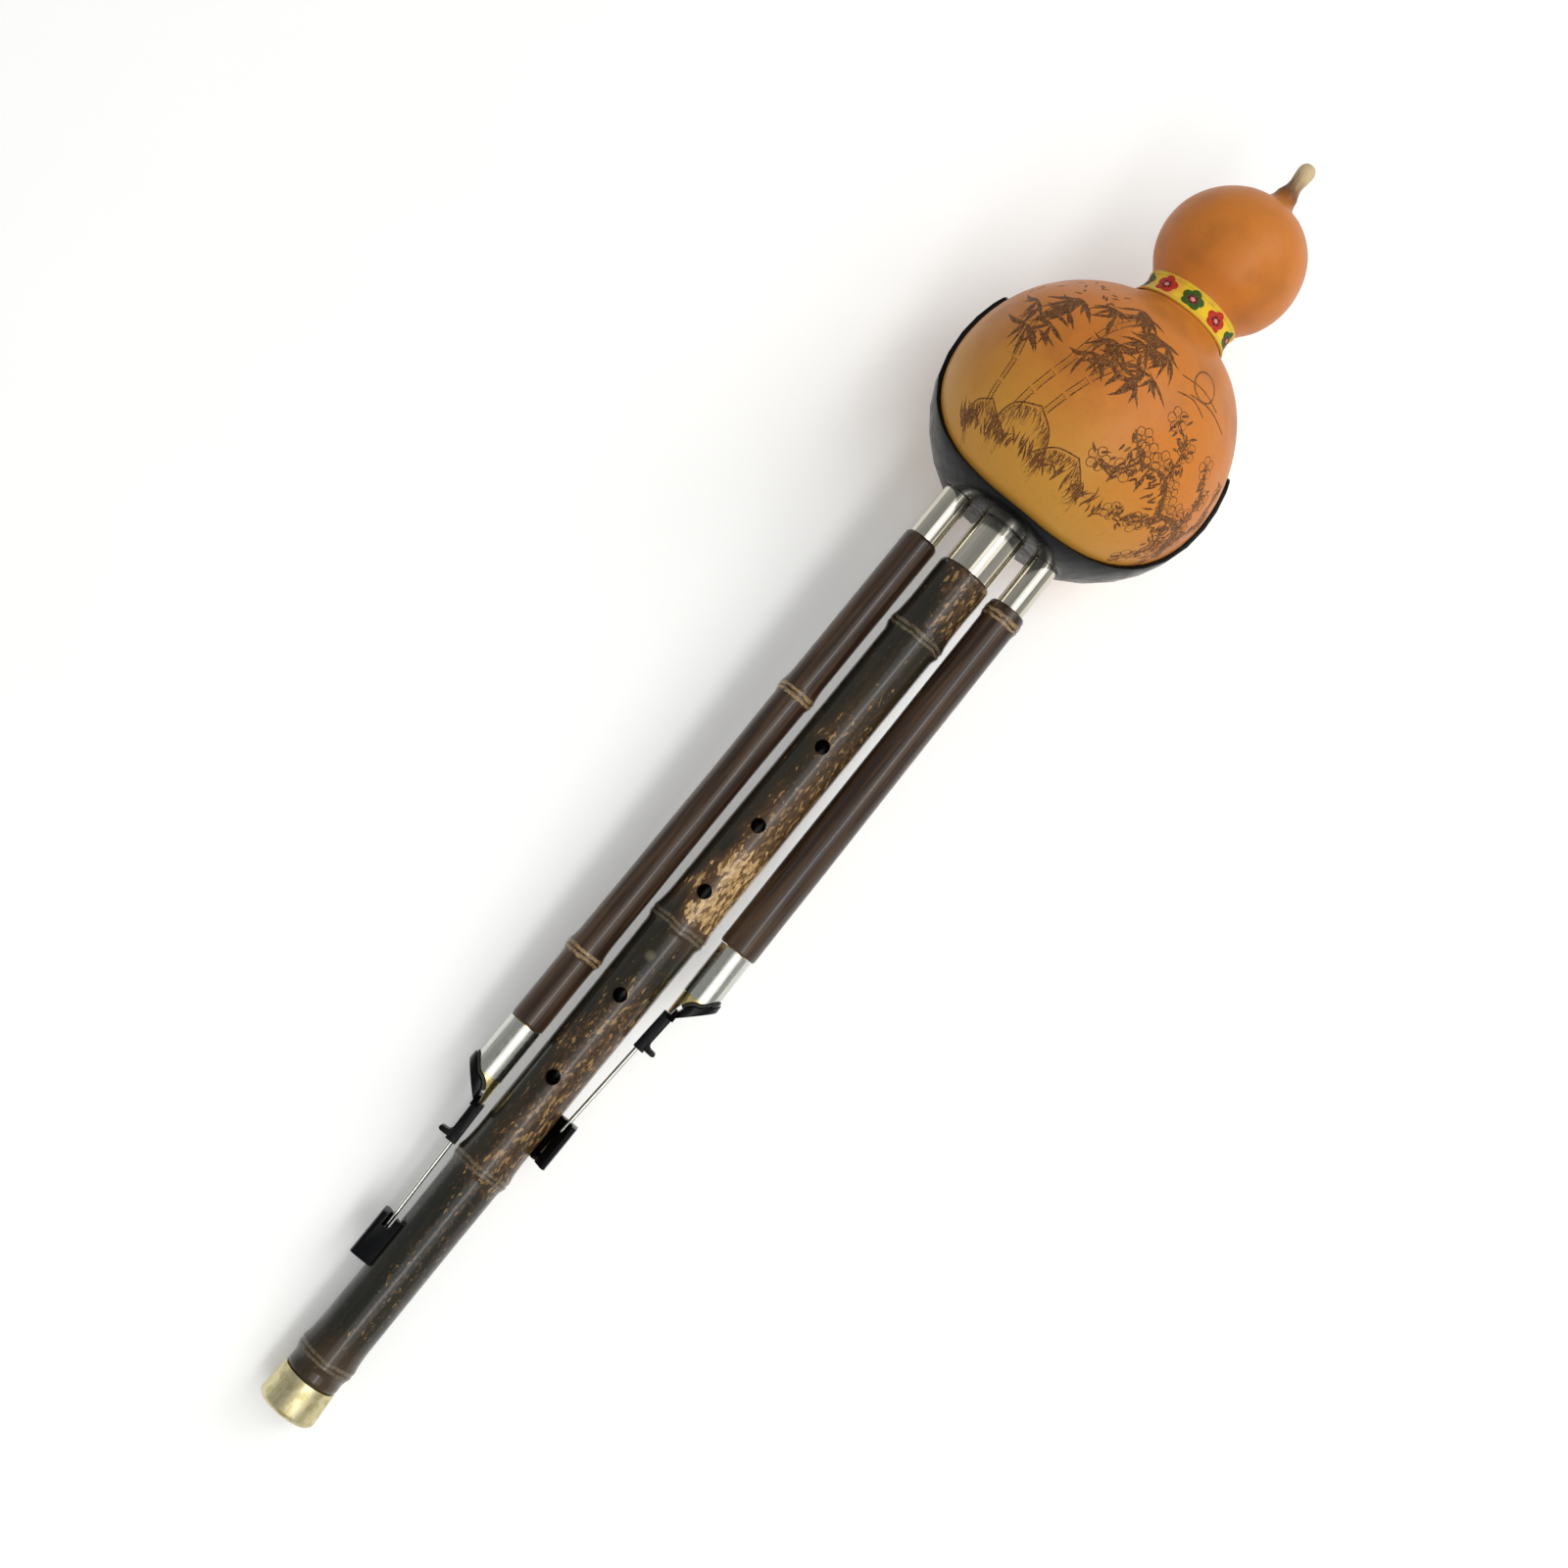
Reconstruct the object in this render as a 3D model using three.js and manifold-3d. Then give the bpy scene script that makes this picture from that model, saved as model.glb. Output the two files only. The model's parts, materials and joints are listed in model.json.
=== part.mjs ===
// A hulusi: a gourd wind chest with three free-reed pipes.
// The fingered main pipe stands in the middle, with a long drone on its left and a short one on its
// right. Each drone ends in a cut-away metal mouth, which a shutter on a rod opens and closes.
// Lengths are millimetres. The pieces are built upright: heights go up from the foot of the main
// pipe, and -Y is the side with the finger holes. The whole is then laid on its back.

import * as THREE from 'three';
import { mergeVertices } from 'three/addons/utils/BufferGeometryUtils.js';
import Module from 'manifold-3d';

const wasm = await Module();
wasm.setup();

// Fits that all pieces share
const seatGap = 0.3; // between two pieces that touch
const cutOverrun = 2; // how far a cutter runs past the face it leaves by
const leastRingStep = 0.3; // least distance between two rings of a bamboo skin

// Main pipe, a length of bamboo with its bore open at both ends
const pipeLength = 368.6; // from the face of the foot ring
const pipeFootRadius = 10.1;
const pipeMiddleRadius = 10.45;
const pipeHeadRadius = 10.3;
const pipeBoreRadius = 7.8;
const pipeNodeShares = { foot: 0.0594, lower: 0.2824, middle: 0.5692, upper: 0.9213 };
const pipeNodeRise = 0.95; // how far a node of the bamboo stands out
const pipeNodeReach = 11; // length of the swelling above a node
const bambooEndRound = 0.8; // eased edge at a cut end

// Finger holes in front, and behind a thumb hole and two vents
const holeRadius = 2.6;
const holeRim = 0.5; // width of the eased edge
const holeRowTurn = THREE.MathUtils.degToRad(-4.4); // the row sits a little left of centre
const holeShares = [0.7851, 0.6907, 0.6118, 0.4889, 0.3918];
const thumbHoleShare = 0.831;
const ventRadius = 1.9;
const ventShares = [0.232, 0.2];

// Foot ring, a metal end with a socket for the pipe's tenon
const footRingHeight = 13.8;
const footRingTopRadius = 10.3;
const footRingRadius = 11.2; // at its widest
const footRingRound = 2.2; // rounding of its lower edge
const tenonRadius = 9;
const tenonLength = 8;

// Neck tubes. Each has a spigot with a tuning cork below, and a reed tube above.
const neckTubeLength = 20.1; // the bright length between the bamboo and the base cap
const mainNeckRadius = 9.6;
const spigotLength = 22;
const spigotWall = 0.9;
const corkLength = 16;
const corkThickness = 0.8;
const mainReedTube = { radius: 7.2, wall: 2, rise: 50 }; // rise is its height over the cap's floor
const droneReedTube = { radius: 4.4, wall: 1.6 };
const plugDepth = 4;
const plugHead = 1.5;
const sealHeight = 4;
const sealWall = 1.2;

// Reeds: a plate over a window in the filed front of the reed tube, with a tongue cut free in it
const reedSeatDepth = 1; // depth of the filed flat
const reedLength = 21;
const reedThickness = 0.5;
const reedWidthShare = 0.9; // of the flat's width
const reedEndMargin = 2.2; // plate beyond each end of the tongue
const tongueWidthShare = 0.42; // of the plate's width, at the root
const tongueTipShare = 0.1;
const tongueSlit = 0.3;

// Drones, with the widths of their bamboo. A length is a share of the main pipe's, lean is outwards,
// and a rod leans back inwards.
const pipeSpacing = 1.6; // between the main pipe's nodes and a drone's mouth
const droneBoreRadius = 4.4;
const droneNodeReach = 8;
const drones = {
  left: {
    side: -1, lean: 0, lengthShare: 0.5876, headRadius: 6.4, footRadius: 6.45, neckRadius: 5.65,
    nodeShares: [0.327, 0.86], nodeRise: 0.9, reedTubeRise: 42,
    rodLean: THREE.MathUtils.degToRad(1.45), rodReach: 48,
  },
  right: {
    side: 1, lean: THREE.MathUtils.degToRad(0.66), lengthShare: 0.4126, headRadius: 6.85, footRadius: 7.2,
    neckRadius: 5.5, nodeShares: [0.033], nodeRise: 0.65, reedTubeRise: 36,
    rodLean: THREE.MathUtils.degToRad(3.56), rodReach: 50.9,
  },
};

// Drone mouths: a bright sleeve over a brass liner. The cut starts high on the outer side, slants
// inwards to a shoulder, and ends in a quarter ellipse that leaves a tongue on the inner side.
const mouthLength = 30.6; // from the end of the bamboo to the tip of the tongue
const mouthRadius = 6.4;
const sleeveWall = 0.5;
const linerWall = 1.1;
const linerLipInset = 0.3; // of the bare brass below the sleeve
const linerThroat = 3; // length of the cone between the mouth and the spigot
const linerSpigotLength = 12;
const cutTopHeight = 13.8;
const cutShoulderHeight = 9;
const cutShoulderOffset = 1.5; // of the shoulder from the axis, on the outer side
const tongueThickness = 1.5;

// Shutters: a spoon-shaped lid with a pad, on an arm that slides along the rod
const rodRadius = 0.85;
const rodGrip = 14; // length of the rod inside its guide
const padThickness = 1;
const padRadius = 7;
const lidReach = 7.7; // of its outermost corner from the mouth's axis
const lidCornerHeight = 9.7;
const lidHeelOffset = 2.4; // where its outer face ends, on the inner side of the axis
const lidShoulderAngle = THREE.MathUtils.degToRad(75); // where the round lid starts to narrow
const lidRoot = 2; // how far it runs down into the arm
const armLength = 16.6;
const armOuterWall = 1.45;
const armInnerWall = 0.45;
const armSideWall = 1.15;
const armRound = 0.7;
const tabReach = 6.5; // from the rod's centre
const tabThickness = 1.9;
const tabRise = 1; // above the lower end of the arm
const tabHalfWidth = 2.7;
const tabFillet = 1.6;

// Rod guides, glued to the side of the main pipe
const guideLength = 17.6;
const guideReach = 6.9; // of the outer face from the pipe's skin
const guideHalfWidth = 5.8;
const guideRound = 1.6;
const guidePlay = 0.65; // round the rod
const guideNotchDepth = 4.2; // of the open front above the bore

// Base cap, a moulded dish with two arms up the sides of the gourd
const capWall = 1.6;
const capFloor = 1.8;
const capFrontRise = 0.7; // of the rim over the floor, front and back
const capArmRise = 20.4; // above the widest part of the gourd
const capArmRootRise = 27.6; // of an arm's root over the rim in front
const capArmRootHalfWidth = 4.1;
const capArmTipHalfWidth = 3;
const capRimBendShares = { low: [0.656, 0.015], high: [0.161, 0.478] }; // of the spread and the rise

// Gourd
const lowerBulbRadius = 53.1;
const lowerBulbDrop = 49.5; // half height of its flatter underside
const upperBulbRadius = 26.7;
const waistRadius = 17.1;
const waistHollowRadius = 9.3; // the waist's hollow, seen from the side
const gourdWall = 3;
const gourdLipWidth = 1.6; // between the tube seals and the cap's edge
const waistShift = 2.1; // the top grows a little to the right
const crownShift = 3.4;
const crownRadius = 4.1;
const crownHollowRadius = 6.6;
const crownHoleRadius = 2.6;

// Mouthpiece, the drilled stalk of the gourd
const stemLength = 14.1;
const stemWaistHeight = 5.6;
const stemWaistRadius = 2.75;
const stemLipHeight = 10.6;
const stemLipRadius = 3.35;
const stemBoreRadius = 1.2;
const stemSpigotLength = 5;

// Ribbon round the waist
const ribbonWidth = 9.2;
const ribbonThickness = 0.6;
const ribbonDrop = 0.8; // of its middle below the narrowest place

// Facet counts
const gourdSides = 36;
const pipeSides = 24;
const droneSides = 20;
const tubeSides = 20;
const smallSides = 12;
const outerSteps = { underside: 6, shoulder: 6, waist: 6, upperBulb: 8 };
const innerSteps = { underside: 3, shoulder: 3, waist: 3, upperBulb: 4 };
const capArmSteps = 3;
const crownSteps = 3;
const cutSteps = 6;
const padSteps = 5; // steps of the cut's edge that the pad covers
const ribbonSteps = 3;
const curveSteps = 6;
const cornerSteps = 1; // for half a rounded corner
const bisections = 40;

// Sizes that follow
const leg = (hypotenuse, otherLeg) => Math.sqrt(hypotenuse ** 2 - otherLeg ** 2);
const pipeWidestRadius = pipeMiddleRadius + pipeNodeRise;
const droneOffset = pipeWidestRadius + pipeSpacing + mouthRadius;
const neckRise = seatGap + neckTubeLength + seatGap; // of the cap's underside over the bamboo
const capUnderside = pipeLength + neckRise;
const capFloorTop = capUnderside + capFloor;
const gourdLipHeight = capFloorTop + seatGap;
const gourdLipInnerRadius = droneOffset + droneReedTube.radius + seatGap + sealWall + seatGap;
const capFlatRadius = gourdLipInnerRadius + gourdLipWidth;
const capInset = -(seatGap + capWall); // of the cap's outer skin within the gourd's
const capFlatShare = capFlatRadius / (lowerBulbRadius - capInset);
const widestHeight = capUnderside + (lowerBulbDrop - capInset) * leg(1, capFlatShare);
const hollowOffset = waistRadius + waistHollowRadius;
const waistHeight = widestHeight + leg(lowerBulbRadius + waistHollowRadius, hollowOffset);
const upperBulbHeight = waistHeight + leg(upperBulbRadius + waistHollowRadius, hollowOffset);
const crownOffset = crownRadius + crownHollowRadius;
const crownHeight = upperBulbHeight + leg(upperBulbRadius + crownHollowRadius, crownOffset);
const linerLipRadius = mouthRadius - linerLipInset;
const tongueFace = linerLipRadius - tongueThickness;
const rodOffset = linerLipRadius - tongueThickness / 2;
const rodBoreRadius = rodRadius + seatGap;

const finishes = {
  gourdSkin: { color: 0xb9722f, roughness: 0.38, metalness: 0 },
  stalk: { color: 0xa59878, roughness: 0.6, metalness: 0 },
  ribbon: { color: 0xe8cf4a, roughness: 0.8, metalness: 0 },
  blackPlastic: { color: 0x1c1d1f, roughness: 0.3, metalness: 0 },
  blackRubber: { color: 0x26261f, roughness: 0.8, metalness: 0 },
  chrome: { color: 0xd5d6d3, roughness: 0.12, metalness: 1 },
  brass: { color: 0xc9a95c, roughness: 0.3, metalness: 1 },
  cork: { color: 0xb98f60, roughness: 0.9, metalness: 0 },
  mottledBamboo: { color: 0x5a4630, roughness: 0.35, metalness: 0 },
  darkBamboo: { color: 0x38271f, roughness: 0.35, metalness: 0 },
  champagne: { color: 0xb7ae87, roughness: 0.25, metalness: 1 },
  steel: { color: 0xb4b1a8, roughness: 0.3, metalness: 1 },
};

function piece(name, geometry, finish) {
  const mesh = new THREE.Mesh(geometry, new THREE.MeshStandardMaterial(finishes[finish]));
  mesh.name = name;
  return mesh;
}

// Solids for cutting and joining, and back again

function toSolid(geometry) {
  const plain = geometry.clone();
  plain.deleteAttribute('normal');
  plain.deleteAttribute('uv');
  const welded = mergeVertices(plain);
  const triangles = [];
  for (let i = 0; i < welded.index.count; i += 3) {
    const [a, b, c] = [0, 1, 2].map((k) => welded.index.getX(i + k));
    if (a !== b && b !== c && c !== a) triangles.push(a, b, c);
  }
  return new wasm.Manifold(new wasm.Mesh({
    numProp: 3,
    vertProperties: new Float32Array(welded.attributes.position.array),
    triVerts: new Uint32Array(triangles),
  }));
}

function fromSolid(solid) {
  const mesh = solid.getMesh();
  const geometry = new THREE.BufferGeometry();
  geometry.setAttribute('position', new THREE.BufferAttribute(mesh.vertProperties, mesh.numProp));
  geometry.setIndex(new THREE.BufferAttribute(mesh.triVerts, 1));
  geometry.computeVertexNormals();
  return geometry;
}

function cutFrom(geometry, ...cutters) {
  return fromSolid(cutters.reduce((solid, cutter) => solid.subtract(toSolid(cutter)), toSolid(geometry)));
}

// Outlines are lists of [radius or x, height] pairs

function arc([centreX, centreHeight], [halfWidth, halfHeight], from, to, steps) {
  return Array.from({ length: steps + 1 }, (_, i) => {
    const angle = from + ((to - from) * i) / steps;
    return [centreX + halfWidth * Math.cos(angle), centreHeight + halfHeight * Math.sin(angle)];
  });
}

function curvePoints(curve, steps) {
  return curve.getPoints(steps).map(({ x, y }) => [x, y]);
}

const vector = ([x, y]) => new THREE.Vector2(x, y);

// An open outline moved sideways, to the right of its direction of travel
function offsetOutline(points, distance) {
  const steps = points.slice(1).map((point, i) => vector(point).sub(vector(points[i])).normalize());
  return points.map((point, i) => {
    const [before, after] = [steps[Math.max(i - 1, 0)], steps[Math.min(i, steps.length - 1)]];
    const sideways = before.clone().add(after).normalize();
    const length = distance / sideways.dot(before);
    return [point[0] + sideways.y * length, point[1] - sideways.x * length];
  });
}

// A turned piece on the Z axis. Its outline has the outer side going up, and facets face X and Y.
function turned(outline, sides) {
  const geometry = new THREE.LatheGeometry(outline.map(vector), sides, Math.PI / sides);
  return geometry.rotateX(Math.PI / 2);
}

function turnedRing(inner, outer, bottom, top, sides) {
  return turned([[inner, bottom], [outer, bottom], [outer, top], [inner, top], [inner, bottom]], sides);
}

function turnedRod(radius, bottom, top, sides) {
  return turned([[0, bottom], [radius, bottom], [radius, top], [0, top]], sides);
}

// A flat outline in X and Z, extruded to both sides of the middle plane
function extrudedSideways(outline, halfWidth) {
  const geometry = new THREE.ExtrudeGeometry(new THREE.Shape(outline.map(vector)), {
    depth: 2 * halfWidth, bevelEnabled: false,
  });
  return geometry.translate(0, 0, -halfWidth).rotateX(Math.PI / 2);
}

// A flat outline in X and Y, extruded upwards
function extrudedUp(shape, bottom, top, curveSegments) {
  const depth = top - bottom;
  return new THREE.ExtrudeGeometry(shape, { depth, bevelEnabled: false, curveSegments })
    .translate(0, 0, bottom);
}

function block([left, front, bottom], [right, back, top]) {
  const geometry = new THREE.BoxGeometry(right - left, back - front, top - bottom);
  return geometry.translate((left + right) / 2, (front + back) / 2, (bottom + top) / 2);
}

// A hollow body lofted through round rings whose centres may lie off the axis
function loftedShell(outerRings, innerRings, sides) {
  const rings = [...outerRings, ...[...innerRings].reverse()];
  const positions = [];
  const index = [];
  rings.forEach(({ radius, height, shift }, i) => {
    const next = (i + 1) % rings.length;
    for (let j = 0; j < sides; j++) {
      const angle = ((j + 0.5) / sides) * 2 * Math.PI;
      positions.push(shift + radius * Math.cos(angle), radius * Math.sin(angle), height);
      const beside = (j + 1) % sides;
      index.push(i * sides + j, i * sides + beside, next * sides + beside);
      index.push(i * sides + j, next * sides + beside, next * sides + j);
    }
  });
  const geometry = new THREE.BufferGeometry();
  geometry.setAttribute('position', new THREE.Float32BufferAttribute(positions, 3));
  geometry.setIndex(index);
  geometry.computeVertexNormals();
  return geometry;
}

const blend = (from, to, low, high, value) => (
  from + (to - from) * THREE.MathUtils.smoothstep(value, low, high)
);

// Bamboo. A node is a long swelling above a groove, with a short ridge below.

const nodeOutlineShares = [[1, 0], [0.42, 0.4], [0.15, 1], [0.06, 0.68], [-0.03, 0.95], [-0.3, 0]];

function nodeSwell(distance, reach, rise) {
  const share = distance / reach;
  for (let i = 1; i < nodeOutlineShares.length; i++) {
    const [upper, upperRise] = nodeOutlineShares[i - 1];
    const [lower, lowerRise] = nodeOutlineShares[i];
    if (share <= upper && share > lower) {
      return rise * THREE.MathUtils.mapLinear(share, lower, upper, lowerRise, upperRise);
    }
  }
  return 0;
}

function bambooSkin({ foot, top, nodes, reach, rise, radiusAt }) {
  const [low, high] = [foot + bambooEndRound, top - bambooEndRound];
  const marks = nodes.flatMap((node) => nodeOutlineShares.map(([share]) => node + share * reach))
    .filter((height) => height > low + leastRingStep && height < high - leastRingStep)
    .sort((a, b) => a - b)
    .filter((height, i, all) => i === 0 || height - all[i - 1] > leastRingStep);
  return [foot, low, ...marks, high, top].map((height) => {
    const swell = nodes.reduce((sum, node) => sum + nodeSwell(height - node, reach, rise), 0);
    const eased = height === foot || height === top ? bambooEndRound / 2 : 0;
    return [radiusAt(height) + swell - eased, height];
  });
}

// Main pipe

const pipeNodes = Object.values(pipeNodeShares).map((share) => share * pipeLength);

function pipeRadiusAt(height) {
  const [, lower, middle, upper] = pipeNodes;
  const low = blend(pipeFootRadius, pipeMiddleRadius, lower, middle, height);
  return blend(low, pipeHeadRadius, middle, upper, height);
}

function pipeSkin(extra) {
  return bambooSkin({
    foot: footRingHeight + seatGap, top: pipeLength, nodes: pipeNodes, reach: pipeNodeReach,
    rise: pipeNodeRise, radiusAt: (height) => pipeRadiusAt(height) + extra,
  });
}

function holeCutter(radius, share, turn) {
  const height = share * pipeLength;
  const skin = pipeRadiusAt(height);
  const cutter = turned([
    [0, 0], [radius, 0], [radius, skin - holeRim],
    [radius + holeRim + cutOverrun, skin + cutOverrun], [0, skin + cutOverrun],
  ], smallSides);
  return cutter.rotateX(Math.PI / 2).rotateZ(turn).translate(0, 0, height);
}

function mainPipe() {
  const shoulder = footRingHeight + seatGap;
  const tenonBottom = shoulder - tenonLength;
  const blank = turned([
    [pipeBoreRadius, tenonBottom], [tenonRadius, tenonBottom], [tenonRadius, shoulder],
    ...pipeSkin(0), [pipeBoreRadius, pipeLength], [pipeBoreRadius, tenonBottom],
  ], pipeSides);
  const fingerHoles = holeShares.map((share) => holeCutter(holeRadius, share, holeRowTurn));
  const thumbHole = holeCutter(holeRadius, thumbHoleShare, Math.PI);
  const vents = ventShares.map((share) => holeCutter(ventRadius, share, Math.PI));
  return piece('main_pipe', cutFrom(blank, ...fingerHoles, thumbHole, ...vents), 'mottledBamboo');
}

const footRingOutline = [
  ...arc([footRingRadius - footRingRound, footRingRound], [footRingRound, footRingRound],
    -Math.PI / 2, 0, 3),
  [(footRingRadius + footRingTopRadius) / 2, (footRingHeight + footRingRound) / 2],
  [footRingTopRadius, footRingHeight],
];

function footRing() {
  const socket = tenonRadius + seatGap;
  const socketFloor = footRingHeight - tenonLength;
  const outline = [
    [pipeBoreRadius, 0], ...footRingOutline, [socket, footRingHeight], [socket, socketFloor],
    [pipeBoreRadius, socketFloor], [pipeBoreRadius, 0],
  ];
  return piece('foot_ring', turned(outline, pipeSides), 'champagne');
}

// Neck tubes and reeds. Heights here go up from the top of the bamboo.

function reedPlate(width) {
  const [side, end] = [width / 2, reedLength / 2];
  const [root, tip] = [end - reedEndMargin, reedEndMargin - end];
  const rootHalf = side * tongueWidthShare;
  const tipHalf = side * tongueTipShare;
  const plate = new THREE.Shape([[-side, -end], [side, -end], [side, end], [-side, end]].map(vector));
  plate.holes.push(new THREE.Path([
    [-rootHalf - tongueSlit, root], [-tipHalf - tongueSlit, tip], [tipHalf + tongueSlit, tip],
    [rootHalf + tongueSlit, root], [rootHalf, root], [tipHalf, tip + tongueSlit],
    [-tipHalf, tip + tongueSlit], [-rootHalf, root],
  ].map(vector)));
  const geometry = new THREE.ExtrudeGeometry(plate, { depth: reedThickness, bevelEnabled: false });
  return geometry.rotateX(Math.PI / 2);
}

function neckPieces(name, boreRadius, neckRadius, reedTube, tubeRise) {
  const spigotRadius = boreRadius - corkThickness - 2 * seatGap;
  const reedBore = reedTube.radius - reedTube.wall;
  const spigotBore = Math.min(spigotRadius - spigotWall, reedBore);
  const neckTop = seatGap + neckTubeLength;
  const floorTop = neckRise + capFloor;
  const top = floorTop + tubeRise;
  const blank = turned([
    [spigotBore, -spigotLength], [spigotRadius, -spigotLength], [spigotRadius, seatGap],
    [neckRadius, seatGap], [neckRadius, neckTop], [reedTube.radius, neckTop], [reedTube.radius, top],
    [reedBore, top], [reedBore, neckTop], [spigotBore, seatGap], [spigotBore, -spigotLength],
  ], tubeSides);

  const seat = reedTube.radius - reedSeatDepth;
  const front = reedTube.radius + cutOverrun;
  const plateWidth = 2 * leg(reedTube.radius, seat) * reedWidthShare;
  const plateMiddle = top - plugHead - reedLength / 2;
  const seatHalf = reedLength / 2 + seatGap;
  const windowHalf = reedLength / 2 - reedEndMargin;
  const windowSide = (plateWidth * tongueWidthShare) / 2 + tongueSlit;
  const flat = block([-front, -front, plateMiddle - seatHalf], [front, -seat, plateMiddle + seatHalf]);
  const opening = block(
    [-windowSide, -front, plateMiddle - windowHalf], [windowSide, 0, plateMiddle + windowHalf],
  );

  const plug = turned([
    [0, top - plugDepth], [reedBore - seatGap, top - plugDepth], [reedBore - seatGap, top + seatGap],
    [reedTube.radius, top + seatGap], [reedTube.radius, top + seatGap + plugHead],
    [0, top + seatGap + plugHead],
  ], tubeSides);
  const corkBottom = -(spigotLength + corkLength) / 2;
  const cork = turnedRing(
    spigotRadius + seatGap, boreRadius - seatGap, corkBottom, corkBottom + corkLength, tubeSides,
  );
  const sealBottom = floorTop + seatGap;
  const sealBore = reedTube.radius + seatGap;
  const seal = turnedRing(sealBore, sealBore + sealWall, sealBottom, sealBottom + sealHeight, tubeSides);

  return [
    piece(`${name}_neck_tube`, cutFrom(blank, flat, opening), 'chrome'),
    piece(`${name}_reed`, reedPlate(plateWidth).translate(0, -seat - seatGap, plateMiddle), 'brass'),
    piece(`${name}_reed_plug`, plug, 'brass'),
    piece(`${name}_tuning_cork`, cork, 'cork'),
    piece(`${name}_tube_seal`, seal, 'blackRubber'),
  ];
}

// Frames of the drones. Inside one, +X points to the main pipe and the bamboo's top is at zero.

function droneFrame({ side, lean }) {
  const frame = new THREE.Matrix4().makeTranslation(side * droneOffset, 0, pipeLength);
  frame.multiply(new THREE.Matrix4().makeRotationY(-side * lean));
  return side > 0 ? frame.multiply(new THREE.Matrix4().makeRotationZ(Math.PI)) : frame;
}

const bambooLength = ({ lengthShare }) => lengthShare * pipeLength;
const tongueTip = (drone) => -(bambooLength(drone) + mouthLength);

// Inside a rod's frame the rod hangs down the Z axis from the tip of the tongue
function rodFrame(drone) {
  const frame = new THREE.Matrix4().makeTranslation(rodOffset, 0, tongueTip(drone));
  return frame.multiply(new THREE.Matrix4().makeRotationY(-drone.rodLean));
}

function dronePipe(name, drone) {
  const { headRadius, footRadius, nodeShares, nodeRise } = drone;
  const length = bambooLength(drone);
  const radiusAt = (height) => THREE.MathUtils.mapLinear(height, 0, -length, headRadius, footRadius);
  const nodes = nodeShares.map((share) => -share * length);
  const skin = bambooSkin({ foot: -length, top: 0, nodes, reach: droneNodeReach, rise: nodeRise, radiusAt });
  const outline = [
    [droneBoreRadius, -length], ...skin, [droneBoreRadius, 0], [droneBoreRadius, -length],
  ];
  return piece(`${name}_drone_pipe`, turned(outline, droneSides), 'darkBamboo');
}

// Drone mouths. Heights here go up from the tip of the tongue.

// The edge of the cut, seen from the front, from its outer top to the tongue
const cutEdge = [
  [-mouthRadius, cutTopHeight],
  ...arc([-cutShoulderOffset, 0], [tongueFace + cutShoulderOffset, cutShoulderHeight],
    Math.PI / 2, 0, cutSteps),
];

function mouthCutter() {
  const slant = (cutTopHeight - cutShoulderHeight) / (mouthRadius - cutShoulderOffset);
  const outside = -mouthRadius - cutOverrun;
  return extrudedSideways([
    [outside, -cutOverrun], [outside, cutTopHeight + slant * cutOverrun], ...cutEdge.slice(1),
    [tongueFace, -cutOverrun],
  ], mouthRadius + cutOverrun);
}

function mouthPieces(name) {
  const top = mouthLength - seatGap;
  const sleeve = turnedRing(
    mouthRadius - sleeveWall, mouthRadius, cutShoulderHeight + seatGap, top, droneSides,
  );
  const linerRadius = mouthRadius - sleeveWall - seatGap;
  const linerBore = linerRadius - linerWall;
  const spigotRadius = droneBoreRadius - seatGap;
  const spigotTop = top + linerSpigotLength;
  const liner = turned([
    [linerBore, 0], [linerLipRadius, 0], [linerLipRadius, cutShoulderHeight],
    [linerRadius, cutShoulderHeight], [linerRadius, top], [spigotRadius, top],
    [spigotRadius, spigotTop], [spigotRadius - spigotWall, spigotTop],
    [spigotRadius - spigotWall, top - spigotWall], [linerBore, top - spigotWall - linerThroat],
    [linerBore, 0],
  ], droneSides);
  return [
    piece(`${name}_mouth_sleeve`, cutFrom(sleeve, mouthCutter()), 'steel'),
    piece(`${name}_mouth_liner`, cutFrom(liner, mouthCutter()), 'brass'),
  ];
}

function shutterRod(name, { rodReach }) {
  const rod = turnedRod(rodRadius, -rodReach - rodGrip, -seatGap, smallSides);
  return piece(`${name}_shutter_rod`, rod, 'steel');
}

// The arm round the rod, with a finger tab near its lower end, in the rod's frame
function shutterArm() {
  const outer = -rodBoreRadius - armOuterWall;
  const inner = rodBoreRadius + armInnerWall;
  const half = rodBoreRadius + armSideWall;
  const section = new THREE.Shape();
  section.moveTo(inner, -half + armRound);
  section.absarc(inner - armRound, half - armRound, armRound, 0, Math.PI / 2);
  section.absarc(outer + armRound, half - armRound, armRound, Math.PI / 2, Math.PI);
  section.absarc(outer + armRound, -half + armRound, armRound, Math.PI, 1.5 * Math.PI);
  section.absarc(inner - armRound, -half + armRound, armRound, 1.5 * Math.PI, 2 * Math.PI);
  const arm = toSolid(extrudedUp(section, -armLength, -2 * seatGap, cornerSteps));
  const tabBottom = tabRise - armLength;
  const tabTop = tabBottom + tabThickness;
  const tab = extrudedSideways([
    [outer + armRound, tabBottom],
    ...arc([-tabReach + tabThickness / 2, (tabBottom + tabTop) / 2], [tabThickness / 2, tabThickness / 2],
      1.5 * Math.PI, Math.PI / 2, 4),
    ...arc([outer - tabFillet, tabTop + tabFillet], [tabFillet, tabFillet], -Math.PI / 2, 0, 3),
    [outer + armRound, tabTop + tabFillet],
  ], tabHalfWidth);
  return arm.add(toSolid(tab));
}

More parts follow.
